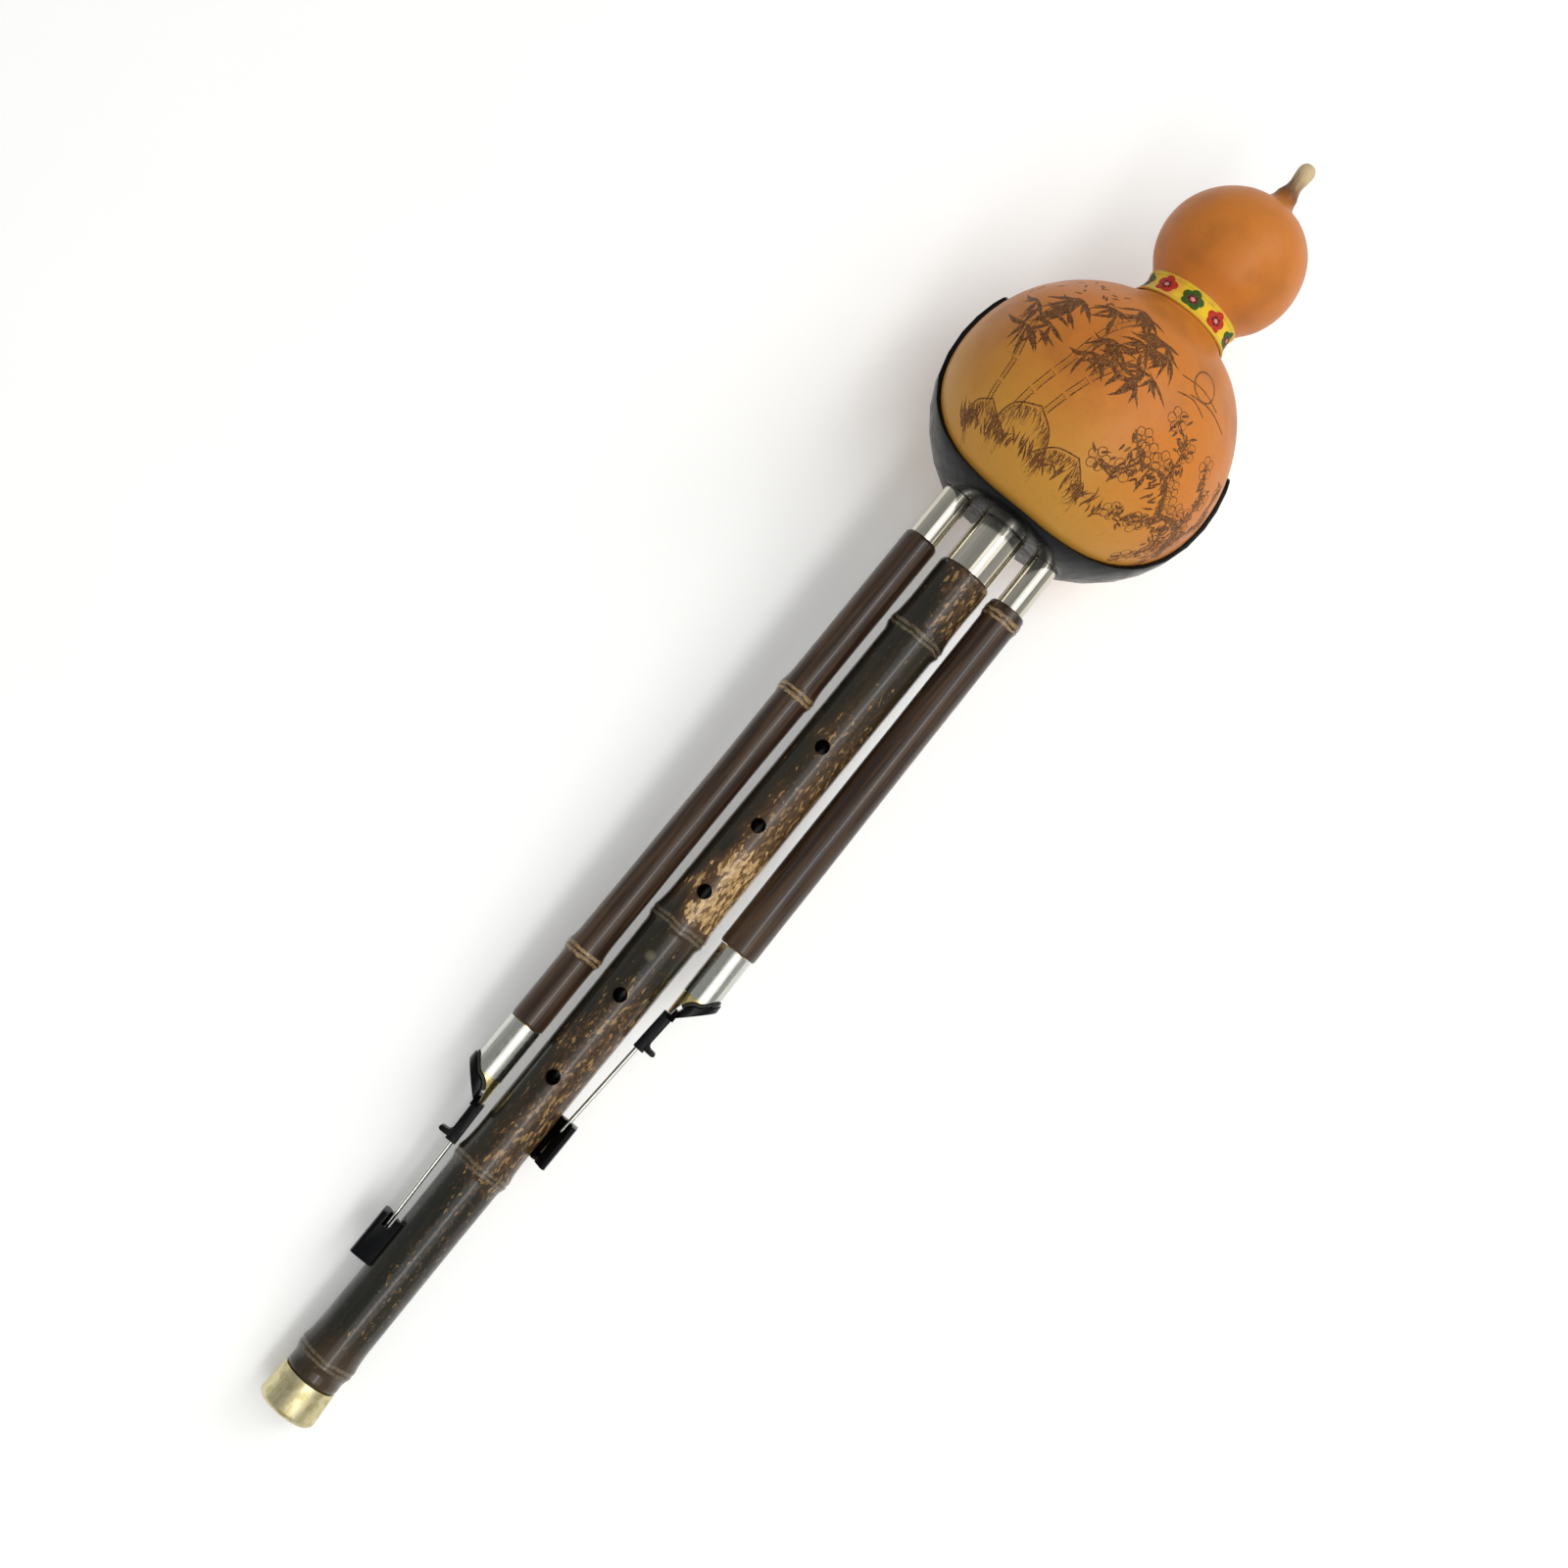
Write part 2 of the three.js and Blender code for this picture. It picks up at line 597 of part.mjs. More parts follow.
// The lid follows the cut from outside. Seen from the end it is round, and narrows to the arm.
function shutterLid() {
  const armInner = rodOffset + rodBoreRadius + armInnerWall;
  const armHalf = rodBoreRadius + armSideWall;
  const overTongue = offsetOutline(cutEdge, seatGap).slice(padSteps + 1);
  const overPad = offsetOutline(cutEdge, padThickness + 2 * seatGap).slice(0, padSteps + 2);
  const profile = extrudedSideways([
    [lidHeelOffset, -lidRoot], [lidHeelOffset, 0], [-lidReach, lidCornerHeight],
    ...overPad, ...overTongue, [tongueFace - seatGap, -seatGap], [armInner, -seatGap],
    [armInner, -lidRoot],
  ], lidReach);
  const plan = new THREE.Shape();
  plan.moveTo(armInner, armHalf);
  plan.lineTo(rodOffset, armHalf);
  plan.absarc(0, 0, lidReach, lidShoulderAngle, -lidShoulderAngle, false);
  plan.lineTo(rodOffset, -armHalf);
  plan.lineTo(armInner, -armHalf);
  const round = extrudedUp(plan, -lidRoot - cutOverrun, cutTopHeight + cutOverrun, curveSteps);
  return toSolid(profile).intersect(toSolid(round));
}

function shutterPieces(name, drone) {
  const tip = tongueTip(drone);
  const frame = rodFrame(drone);
  const bore = turnedRod(rodBoreRadius, -armLength - cutOverrun, 0, smallSides).applyMatrix4(frame);
  const arm = fromSolid(shutterArm()).applyMatrix4(frame);
  const lid = fromSolid(shutterLid()).translate(0, 0, tip);
  const shutter = toSolid(arm).add(toSolid(lid)).subtract(toSolid(bore));
  const inner = offsetOutline(cutEdge, seatGap).slice(0, padSteps + 1);
  const outer = offsetOutline(cutEdge, seatGap + padThickness).slice(0, padSteps + 1);
  const padProfile = extrudedSideways([...inner, ...outer.reverse()], padRadius + cutOverrun);
  const padPlan = turnedRod(padRadius, -cutOverrun, cutTopHeight + cutOverrun, droneSides);
  const pad = toSolid(padProfile).intersect(toSolid(padPlan));
  return [
    piece(`${name}_shutter`, fromSolid(shutter), 'blackPlastic'),
    piece(`${name}_shutter_pad`, fromSolid(pad).translate(0, 0, tip), 'blackRubber'),
  ];
}

// A block that hugs the main pipe, with a bore along the rod and an open front above it
function rodGuide(name, drone) {
  const frame = droneFrame(drone).multiply(rodFrame(drone));
  const mouth = new THREE.Vector3(0, 0, -drone.rodReach).applyMatrix4(frame);
  const [bottom, top] = [mouth.z - guideLength, mouth.z];
  const reach = pipeRadiusAt(top) + guideReach;
  const half = guideHalfWidth;
  const outline = new THREE.Shape();
  outline.moveTo(pipeBoreRadius, -half);
  outline.absarc(reach - guideRound, -half + guideRound, guideRound, -Math.PI / 2, 0);
  outline.absarc(reach - guideRound, half - guideRound, guideRound, 0, Math.PI / 2);
  outline.lineTo(pipeBoreRadius, half);
  const blank = extrudedUp(outline, bottom, top, cornerSteps);
  if (drone.side < 0) blank.rotateZ(Math.PI);
  const skin = pipeSkin(seatGap);
  const pipeRoom = turned([[0, skin[0][1]], ...skin, [0, pipeLength]], pipeSides);
  const boreRadius = rodRadius + guidePlay;
  const bore = turnedRod(
    boreRadius, -drone.rodReach - guideLength - cutOverrun, -drone.rodReach + cutOverrun, smallSides,
  ).applyMatrix4(frame);
  const notch = block(
    [mouth.x - boreRadius, -half - cutOverrun, top - guideNotchDepth],
    [mouth.x + boreRadius, 0, top + cutOverrun],
  );
  return piece(`${name}_rod_guide`, cutFrom(blank, pipeRoom, bore, notch), 'blackPlastic');
}

// Gourd. The base cap and the ribbon follow the same outline at their own distance from it.

const shoulderAngle = Math.acos(hollowOffset / (lowerBulbRadius + waistHollowRadius));
const upperBulbAngle = Math.acos(hollowOffset / (upperBulbRadius + waistHollowRadius));
const crownAngle = Math.acos(crownOffset / (upperBulbRadius + crownHollowRadius));

function undersideArc(inset, bottomRadius, steps) {
  const radii = [lowerBulbRadius - inset, lowerBulbDrop - inset];
  return arc([0, widestHeight], radii, -Math.acos(bottomRadius / radii[0]), 0, steps);
}

const undersideRadius = (inset, height) => (
  (lowerBulbRadius - inset) * leg(1, (widestHeight - height) / (lowerBulbDrop - inset))
);

function shoulderArc(inset, angle, steps) {
  const radius = lowerBulbRadius - inset;
  return arc([0, widestHeight], [radius, radius], 0, angle, steps).slice(1);
}

function topOutline(inset, topAngle, steps) {
  const hollow = waistHollowRadius + inset;
  const upper = upperBulbRadius - inset;
  return [
    ...shoulderArc(inset, shoulderAngle, steps.shoulder),
    ...arc([hollowOffset, waistHeight], [hollow, hollow], Math.PI + shoulderAngle,
      Math.PI - upperBulbAngle, steps.waist).slice(1),
    ...arc([0, upperBulbHeight], [upper, upper], -upperBulbAngle, topAngle, steps.upperBulb).slice(1),
  ];
}

function shiftAt(height) {
  const shiftStart = widestHeight + capArmRise + seatGap;
  const waist = blend(0, waistShift, shiftStart, waistHeight, height);
  return waist + blend(0, crownShift - waistShift, upperBulbHeight, crownHeight, height);
}

const toRings = (outline) => (
  outline.map(([radius, height]) => ({ radius, height, shift: shiftAt(height) }))
);

const gourdSkinOutline = [
  ...undersideArc(0, undersideRadius(0, gourdLipHeight), outerSteps.underside),
  ...topOutline(0, crownAngle, outerSteps),
  ...arc([crownOffset, crownHeight], [crownHollowRadius, crownHollowRadius],
    Math.PI + crownAngle, Math.PI, crownSteps).slice(1),
];

function gourdShell() {
  const innerTopAngle = Math.acos(crownHoleRadius / (upperBulbRadius - gourdWall));
  const inside = [
    [gourdLipInnerRadius, gourdLipHeight],
    ...undersideArc(gourdWall, gourdLipInnerRadius, innerSteps.underside),
    ...topOutline(gourdWall, innerTopAngle, innerSteps), [crownHoleRadius, crownHeight],
  ];
  const shell = loftedShell(toRings(gourdSkinOutline), toRings(inside), gourdSides);
  return piece('gourd_shell', shell, 'gourdSkin');
}

function neckRibbon() {
  const face = waistHollowRadius - seatGap;
  const lowerAngle = Math.PI + Math.asin((ribbonWidth / 2 + ribbonDrop) / waistHollowRadius);
  const upperAngle = Math.PI - Math.asin((ribbonWidth / 2 - ribbonDrop) / waistHollowRadius);
  const band = (radius) => (
    toRings(arc([hollowOffset, waistHeight], [radius, radius], lowerAngle, upperAngle, ribbonSteps))
  );
  return piece('neck_ribbon', loftedShell(band(face - ribbonThickness), band(face), gourdSides), 'ribbon');
}

function mouthpieceStem() {
  const spigotRadius = crownHoleRadius - seatGap;
  const flare = new THREE.CubicBezierCurve(
    new THREE.Vector2(crownRadius, seatGap),
    new THREE.Vector2((crownRadius + stemWaistRadius) / 2, (seatGap + stemWaistHeight) / 3),
    new THREE.Vector2(stemWaistRadius, (seatGap + stemWaistHeight) / 2),
    new THREE.Vector2(stemWaistRadius, stemWaistHeight),
  );
  const outline = [
    [stemBoreRadius, -stemSpigotLength], [spigotRadius, -stemSpigotLength], [spigotRadius, seatGap],
    ...curvePoints(flare, 4),
    [(stemWaistRadius + stemLipRadius) / 2, (stemWaistHeight + stemLipHeight) / 2],
    ...arc([stemBoreRadius, stemLipHeight], [stemLipRadius - stemBoreRadius, stemLength - stemLipHeight],
      0, Math.PI / 2, 4),
    [stemBoreRadius, -stemSpigotLength],
  ];
  const geometry = turned(outline, smallSides).translate(crownShift, 0, crownHeight);
  return piece('mouthpiece_stem', geometry, 'stalk');
}

// Base cap: a turned shell, trimmed from the side to a low rim with an arm at each end

function capTrim(rimRadius) {
  const rim = capFloorTop + capFrontRise;
  const armRoot = rim + capArmRootRise;
  const armTop = widestHeight + capArmRise;
  const bend = ([spreadShare, riseShare]) => new THREE.Vector2(
    THREE.MathUtils.lerp(capArmRootHalfWidth, rimRadius, spreadShare),
    THREE.MathUtils.lerp(rim, armRoot, riseShare),
  );
  const sweep = new THREE.CubicBezierCurve(
    new THREE.Vector2(rimRadius, rim), bend(capRimBendShares.low), bend(capRimBendShares.high),
    new THREE.Vector2(capArmRootHalfWidth, armRoot),
  );
  const half = [
    [rimRadius + cutOverrun, capUnderside - cutOverrun], [rimRadius + cutOverrun, rim],
    ...curvePoints(sweep, 2 * curveSteps),
    ...arc([0, armTop - capArmTipHalfWidth], [capArmTipHalfWidth, capArmTipHalfWidth], 0, Math.PI / 2, 4),
  ];
  const mirrored = half.slice(0, -1).reverse().map(([y, height]) => [-y, height]);
  return extrudedSideways([...half, ...mirrored], lowerBulbRadius - capInset + cutOverrun)
    .rotateZ(Math.PI / 2);
}

function baseCap(neckFrames) {
  const armAngle = (inset) => Math.asin((capArmRise + cutOverrun) / (lowerBulbRadius - inset));
  const skin = (inset, bottomRadius) => [
    ...undersideArc(inset, bottomRadius, outerSteps.underside),
    ...shoulderArc(inset, armAngle(inset), capArmSteps),
  ];
  const shell = turned([
    [0, capUnderside], ...skin(capInset, capFlatRadius),
    ...skin(-seatGap, undersideRadius(-seatGap, capFloorTop)).reverse(), [0, capFloorTop],
  ], gourdSides);
  const rimRadius = undersideRadius(capInset, capFloorTop + capFrontRise);
  const trimmed = toSolid(shell).intersect(toSolid(capTrim(rimRadius)));
  const holes = neckFrames.map(({ frame, radius }) => (
    turnedRod(radius + seatGap, neckRise - cutOverrun, neckRise + capFloor + cutOverrun, tubeSides)
      .applyMatrix4(frame)
  ));
  return piece('base_cap', cutFrom(fromSolid(trimmed), ...holes), 'blackPlastic');
}

// Assembly, upright

const upright = new THREE.Group();
const mainFrame = new THREE.Matrix4().makeTranslation(0, 0, pipeLength);
const neckFrames = [{ frame: mainFrame, radius: mainReedTube.radius }];

const mainNeck = new THREE.Group();
mainNeck.applyMatrix4(mainFrame);
mainNeck.add(...neckPieces('main', pipeBoreRadius, mainNeckRadius, mainReedTube, mainReedTube.rise));
upright.add(mainPipe(), footRing(), mainNeck);

for (const [name, drone] of Object.entries(drones)) {
  const group = new THREE.Group();
  group.applyMatrix4(droneFrame(drone));
  group.add(...neckPieces(name, droneBoreRadius, drone.neckRadius, droneReedTube, drone.reedTubeRise));
  group.add(dronePipe(name, drone), ...shutterPieces(name, drone));

  const mouth = new THREE.Group();
  mouth.position.z = tongueTip(drone);
  mouth.add(...mouthPieces(name));

  const rod = new THREE.Group();
  rod.applyMatrix4(rodFrame(drone));
  rod.add(shutterRod(name, drone));

  group.add(mouth, rod);
  upright.add(group, rodGuide(name, drone));
  neckFrames.push({ frame: droneFrame(drone), radius: droneReedTube.radius });
}

upright.add(gourdShell(), neckRibbon(), mouthpieceStem(), baseCap(neckFrames));

// Laid on its back, with the gourd and the foot ring on the same plane

function depthBehind(outline, sides, lean) {
  const flatShare = Math.cos(Math.PI / sides);
  return Math.max(...outline.map(([radius, height]) => (
    radius * flatShare * Math.cos(lean) - height * Math.sin(lean)
  )));
}

function restingLean() {
  let [low, high] = [0, Math.PI / 4];
  for (let i = 0; i < bisections; i++) {
    const lean = (low + high) / 2;
    const gourdDepth = depthBehind(gourdSkinOutline, gourdSides, lean);
    if (gourdDepth > depthBehind(footRingOutline, pipeSides, lean)) low = lean;
    else high = lean;
  }
  return low;
}

upright.rotation.x = restingLean() - Math.PI / 2;

const part = new THREE.Group();
part.add(upright);
part.updateMatrixWorld(true);
const extent = new THREE.Box3().setFromObject(part, true);
part.position.set(-(extent.min.x + extent.max.x) / 2, -(extent.min.y + extent.max.y) / 2, -extent.min.z);
part.updateMatrixWorld(true);

export default part;
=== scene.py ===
# A hulusi lying on its back on a pale studio floor.
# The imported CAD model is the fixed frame. Bamboo, gourd and ribbon are rebuilt on it as finer
# meshes, and every other CAD piece keeps its shape and gets a finish.
# Lengths are metres. Upright coordinates have the pipe's foot at the origin, X across the pipes,
# Y to the back and Z up the main pipe.

import json
import math
import random
from bisect import bisect_right

import bmesh
import bpy
from mathutils import Matrix, Vector, noise


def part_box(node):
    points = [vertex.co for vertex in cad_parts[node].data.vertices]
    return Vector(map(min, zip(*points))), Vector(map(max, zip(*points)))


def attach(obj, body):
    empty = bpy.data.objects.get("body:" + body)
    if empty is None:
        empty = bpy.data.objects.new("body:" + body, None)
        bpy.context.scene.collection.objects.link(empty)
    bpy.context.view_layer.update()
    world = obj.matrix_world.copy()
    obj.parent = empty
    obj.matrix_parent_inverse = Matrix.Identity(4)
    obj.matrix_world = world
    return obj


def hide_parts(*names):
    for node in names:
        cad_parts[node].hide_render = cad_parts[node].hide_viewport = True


bl_info = {
    "name": "Gourd flute",
    "version": (1, 0, 0),
    "blender": (4, 5, 0),
    "location": "3D View > Sidebar > Gourd flute",
    "description": "Dresses the packed model of a hulusi with fine meshes and finishes",
    "category": "Object",
}

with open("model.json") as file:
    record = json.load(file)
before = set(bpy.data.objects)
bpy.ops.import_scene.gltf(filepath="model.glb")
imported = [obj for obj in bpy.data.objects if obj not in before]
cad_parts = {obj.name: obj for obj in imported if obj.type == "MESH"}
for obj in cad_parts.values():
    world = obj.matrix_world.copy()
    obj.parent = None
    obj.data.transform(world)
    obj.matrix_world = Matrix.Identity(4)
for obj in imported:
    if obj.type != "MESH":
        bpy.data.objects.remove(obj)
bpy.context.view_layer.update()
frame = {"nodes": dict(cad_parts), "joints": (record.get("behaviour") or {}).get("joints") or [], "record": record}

MM = 0.001
FULL_TURN = 2 * math.pi
NOWHERE = (0.0, 0.0, 0.0)  # stands in for a place that each material gives

# How turned CAD pieces are read
SAME_LEVEL = 0.02 * MM  # corners this close in height lie on one level
SAME_RING = 0.1 * MM  # corners this close in radius lie on one ring
OUTWARD = 0.2  # share of a corner's normal that points out, if it lies on the outside
RING_CORNERS = 15  # a ring has more corners than this
NODE_REACH = 10 * MM  # rings further apart than this belong to plain bamboo
NODE_RISE = (0.2 * MM, 0.15 * MM)  # least rise of a node over the rings below and above
NODE_GAP = 6 * MM  # peaks closer than this are the two ridges of one node

# How new pieces are made
EDGE_ANGLE = math.radians(38)  # facets that meet at a smaller angle shade smoothly
BEVEL_ANGLE = math.radians(45)  # and edges that are sharper than this are eased
CORNER_ANGLE = math.radians(50)  # an outline keeps the corners that turn by more
WELD_REACH = 0.002 * MM
GOURD_STEP = 1.2 * MM  # between rings
RIBBON_STEP = 0.4 * MM
BAMBOO_STEP = 1.0 * MM
RIBBON_SIDES = 160
MAIN_SIDES = 72
DRONE_SIDES = 56
RIBBON_THICKNESS = 0.5 * MM
PLUG_FOOT = 4 * MM  # a plug that cuts a hole starts this far from the pipe's axis
PLUG_OVER = 2 * MM  # and ends this far over its skin
MAIN_GROWTH = (0.12 * MM, 40 * MM, 3.0)  # unevenness, its reach and its seed
DRONE_GROWTH = (0.1 * MM, 35 * MM, 9.0)
STROKE_SINK = 0.05 * MM  # edges of a stroke lie this deep in the surface
LOBES = 5  # of a flower
FLOWER_HEIGHT = 0.8  # of a woven flower, as a share of its width
FLOWER_LAYERS = ((1.0, 0.24, 0.3), (0.54, 0.4, 0.9), (0.25, 0.2, 0.3))  # share, notch and turn
LAYER_RISES = (1.0, 1.5, 2.0)  # petals, rings and hearts, one over the other

# Shares of the main pipe's length, with the holes where the CAD model has them
FINGER_HOLE_SHARES = (0.7851, 0.6907, 0.6118, 0.4889, 0.3918)
THUMB_HOLE_SHARE = 0.831
VENT_SHARES = (0.232, 0.2)

# A share of its length, how dense the speckles are there, how brown the ground and how much cream
MOTTLE_SHARES = [
    (0.0, 0.1, 0.9, 0.0), (0.07, 0.1, 0.7, 0.0), (0.1, 0.35, 0.05, 0.0), (0.26, 0.45, 0.05, 0.0),
    (0.29, 0.75, 0.5, 0.0), (0.38, 0.85, 0.45, 0.1), (0.48, 0.8, 0.4, 0.1),
    (0.525, 0.3, 0.15, 0.0), (0.54, 0.05, 0.1, 0.0), (0.572, 0.15, 0.3, 0.35),
    (0.59, 0.8, 0.9, 1.0), (0.66, 0.85, 0.95, 1.0), (0.69, 0.9, 0.8, 0.25),
    (0.74, 0.85, 0.75, 0.1), (0.82, 0.55, 0.55, 0.0), (0.87, 0.15, 0.3, 0.0),
    (0.925, 0.1, 0.15, 0.0), (0.94, 0.8, 0.35, 0.0), (1.0, 0.85, 0.45, 0.0),
]

# Places for the finishes, in upright millimetres
OCHRE_SPAN = (394.0, 446.0)  # the gourd turns from ochre to its redder skin
OCHRE_WAVER = 40.0  # and wavers by this much
OCHRE_LEAN = 0.3  # lower to the right
CROWN_SPAN = (-8.0, 1.0)  # the crown darkens, from the stalk's foot
STALK_SPAN = (2.0, 13.0)  # the stalk pales, from its foot
STALK_WAVER = 9.0
STALK_SHOWN = 14.5
RIBBON_BORDER = (1.1, 0.8)  # the border begins and is full this far from the ribbon's edge
RIBBON_PIPING = (1.5, 0.22)  # from the ribbon's edge, and half its width
THREAD_PITCH = (0.42, 0.3)  # of the weave round the ribbon and across it
SPECKLE_SPAN = (-8.0, 2.0)  # the speckles begin and are full, across the main pipe
SPECKLE_WAVER = 26.0
BUD_SCAR = (-1.2, -10.4, 197.0)
SCAR_REACH = (0.6, 2.6)
BORE_SHADE_DEPTH = (0.65, 0.45)  # the bore colour, bare bamboo darkened as painted shade, is full and begins this deep under the skin
RIDGES = ((-1.0, 0.75), (0.95, 0.85))  # of a node: height over its groove, and reach
RIDGE_WAVER = 2.5
RIDGE_RELIEF = 6.0  # times the relief of the fibres

# Gloss
VARNISH = {"Coat Weight": 0.5, "Coat Roughness": 0.14, "Specular IOR Level": 0.18}
SOFT_VARNISH = {"Coat Weight": 0.08, "Coat Roughness": 0.24, "Specular IOR Level": 0.14}

# The burnt picture, in millimetres on the lower bulb: right of its front and up from its widest
PICTURE_SEED = 7
ROCKS = [
    ((-50, -33), (-44, -24), (-36, -21), (-30, -26), (-24, -30)),
    ((-34, -31), (-27, -19), (-17, -15), (-9, -21), (-5, -31)),
    ((-12, -30), (-4, -23), (5, -21), (12, -27), (17, -33)),
]
ROCK_HATCHES = 110
GRASS_BLADES = 110
CANES = [  # each with its width
    (((-26, -20), (-19, 2), (-16, 20), (-8, 36)), 2.4),
    (((-15, -16), (-8, 4), (0, 18), (4, 31)), 2.0),
    (((-38, -23), (-36, -6), (-40, 10), (-37, 24)), 1.7),
]
CANE_JOINT = 9  # steps between two joints
BOUGH = ((70, -22), (56, -12), (44, -15), (33, -6), (22, -8), (13, -2))
TWIGS = [
    ((58, -13), (54, 0), (46, 8)), ((45, -15), (38, -24), (29, -26)), ((34, -7), (31, 6), (23, 11)),
    ((50, -14), (60, -24), (57, -32)), ((22, -8), (18, -15), (10, -17)),
    ((62, -16), (68, -4), (64, 8)),
]
MOON = (27, 29)
MISTS = ((25, 15, 38), (21.5, 22, 46), (18.5, 17, 32))  # height, left end and right end
LOOSE_LEAVES = 24

# Floor and sky
FLOOR_HALF = 4.0
FLOOR_DROP = 0.4 * MM  # the fine gourd reaches a little lower than its facets
FLOOR_GLOW = 0.18  # paler for the camera and in reflections
SKY_LEVELS = [(0.0, 1.0), (0.3, 1.0), (0.6, 0.8), (1.0, 0.7)]  # darker towards the top
SKY_GAIN = 1.25  # makes up for the darker top

# The photograph's view and its lamps
RECEDES = math.radians(3.6)  # the pipes lean away from the picture at the gourd
PIPE_TURN = math.radians(39.2537)  # clockwise from the picture's up to the pipes
AIM = (-2.9 * MM, 0, 271.8 * MM)  # upright point in the middle of the picture
SENSOR_WIDTH = 36  # millimetres
KEY_SLANT = math.radians(58)  # from the view to the softbox
KEY_SIDE = (0.95, 0.31)  # the softbox stands to the right and a little above
KEY_REACH = 2.6
KEY_SIZE = 1.4
STRIP_SLANT = math.radians(22)  # from the view to the strip and the card, which lie along the pipes
STRIP_LENGTH = 2.6
STRIP_WIDTH = 0.3
STRIP_REACH = 2.0
CARD_WIDTH = 2.0
CARD_REACH = 2.1


# Upright frames, read from the record

JOINT_AXES = {joint["name"]: Vector(joint["axis"]) for joint in frame["joints"]}
FOOT_FACE = next(m for m in frame["record"]["mounts"] if m["name"] == "foot_end")
FOOT = Vector((0, *FOOT_FACE["pos_m"][1:]))
ACROSS = Vector((1, 0, 0))
BACK = ACROSS.cross(JOINT_AXES["main_tuning"])


def stand(place, *axes):
    """The matrix of a frame at a place, from its three axes."""
    return Matrix.Translation(place) @ Matrix(axes).transposed().to_4x4()


def upright_frame(joint):
    """The matrix from upright coordinates along a tuning joint's pipe to the row's frame."""
    up = -JOINT_AXES[joint]
    return stand(FOOT, BACK.cross(up), BACK, up)


UPRIGHT = upright_frame("main_tuning")


# Settings that a user may change

def linear(code):
    """A colour written as sRGB hex, in Blender's linear values."""
    channels = [((code >> shift) & 255) / 255 for shift in (16, 8, 0)]
    return tuple(c / 12.92 if c <= 0.04045 else ((c + 0.055) / 1.055) ** 2.4 for c in channels)


def colour(name, description, code):
    return bpy.props.FloatVectorProperty(
        name=name, description=description, subtype="COLOR", size=3, min=0, max=1,
        default=linear(code),
    )


def length(name, description, default):
    return bpy.props.FloatProperty(
        name=name, description=description, default=default, min=0, unit="LENGTH", precision=5
    )


def bearing(name, description, degrees):
    return bpy.props.FloatProperty(
        name=name, description=description, default=math.radians(degrees), subtype="ANGLE"
    )


def power(name, description, default):
    return bpy.props.FloatProperty(name=name, description=description, default=default, unit="POWER")


class GourdSettings(bpy.types.PropertyGroup):
    skin: colour("Skin", "Varnished skin on top of the bulbs", 0xC87830)
    ochre: colour("Ochre", "Skin towards the base cap", 0xC48E3A)
    shade: colour("Shade", "Darker cloudy patches", 0x9C602C)
    burnt: colour("Burnt line", "Lines of the burnt picture", 0x50290F)
    burnt_wash: colour("Burnt wash", "Leaves of the burnt picture", 0x86592C)
    stalk: colour("Stalk", "Dry tip of the stalk", 0xCDB68C)
    stalk_foot: colour("Stalk foot", "Darker wood at the stalk's foot", 0x6B4526)
    wall: length("Wall", "Thickness of the gourd's wall", 3 * MM)
    seam: length("Seam", "How far the crown reaches up to the stalk", 0.26 * MM)
    proud: length("Line height", "How far a burnt line stands out of the skin", 0.07 * MM)
    sides: bpy.props.IntProperty(name="Sides", description="Facets round the gourd", default=160, min=24)


class RibbonSettings(bpy.types.PropertyGroup):
    ground: colour("Ground", "Yellow of the ribbon", 0xF0C818)
    border: colour("Border", "Woven edge of the ribbon", 0xD2B22C)
    red: colour("Red flowers", "Petals of every other flower", 0xC4301A)
    green: colour("Green flowers", "Petals of the flowers between", 0x3A5A18)
    wine: colour("Inner petals", "Dark ring round each flower's heart", 0x6A1418)
    heart: colour("Flower hearts", "Centre of each flower", 0xE89088)
    flowers: bpy.props.IntProperty(name="Flowers", description="Flowers round the waist", default=10, min=2)
    petal: length("Petal", "From a flower's middle to its tips", 4.7 * MM)
    amber: colour("Amber", "Warmer threads in the ground", 0xE8983A)
    thread: length("Thread height", "How far the flowers stand out", 0.16 * MM)
    first: bearing("First flower", "Turn of the first flower from the front", -5)


class BambooSettings(bpy.types.PropertyGroup):
    dark: colour("Main dark", "Ground of the main pipe", 0x171A13)
    brown: colour("Main brown", "Lighter ground of the main pipe", 0x44331F)
    gold: colour("Speckles", "Golden speckles of the main pipe", 0x9A7A4C)
    cream: colour("Cream", "Lightest mottling, round the third hole", 0xCAA977)
    rust: colour("Rust", "Reddish brown flecks between the speckles", 0x5A3E26)
    node: colour("Nodes", "Worn ridges of the nodes", 0x6E614B)
    scar: colour("Bud scar", "Pale scar below the middle node", 0x6A624A)
    drone: colour("Drones", "Ground of the drones", 0x2C1E16)
    drone_streak: colour("Drone streaks", "Lighter streaks of the drones", 0x533E2B)
    drone_node: colour("Drone nodes", "Worn ridges of the drones' nodes", 0x99805A)
    # Bare bamboo's tone, darkened as painted shade inside the bores and holes
    inside: colour("Inside", "Bare bamboo inside the bores and holes", 0x2E2010)
    hole_radius: length("Finger hole", "Radius of a finger hole", 2.6 * MM)
    vent_radius: length("Vent", "Radius of a vent behind", 1.9 * MM)
    hole_rim: length("Hole rim", "Width of a hole's eased edge", 0.5 * MM)
    hole_turn: bearing("Hole turn", "Turn of the hole row from the front", -4.4)


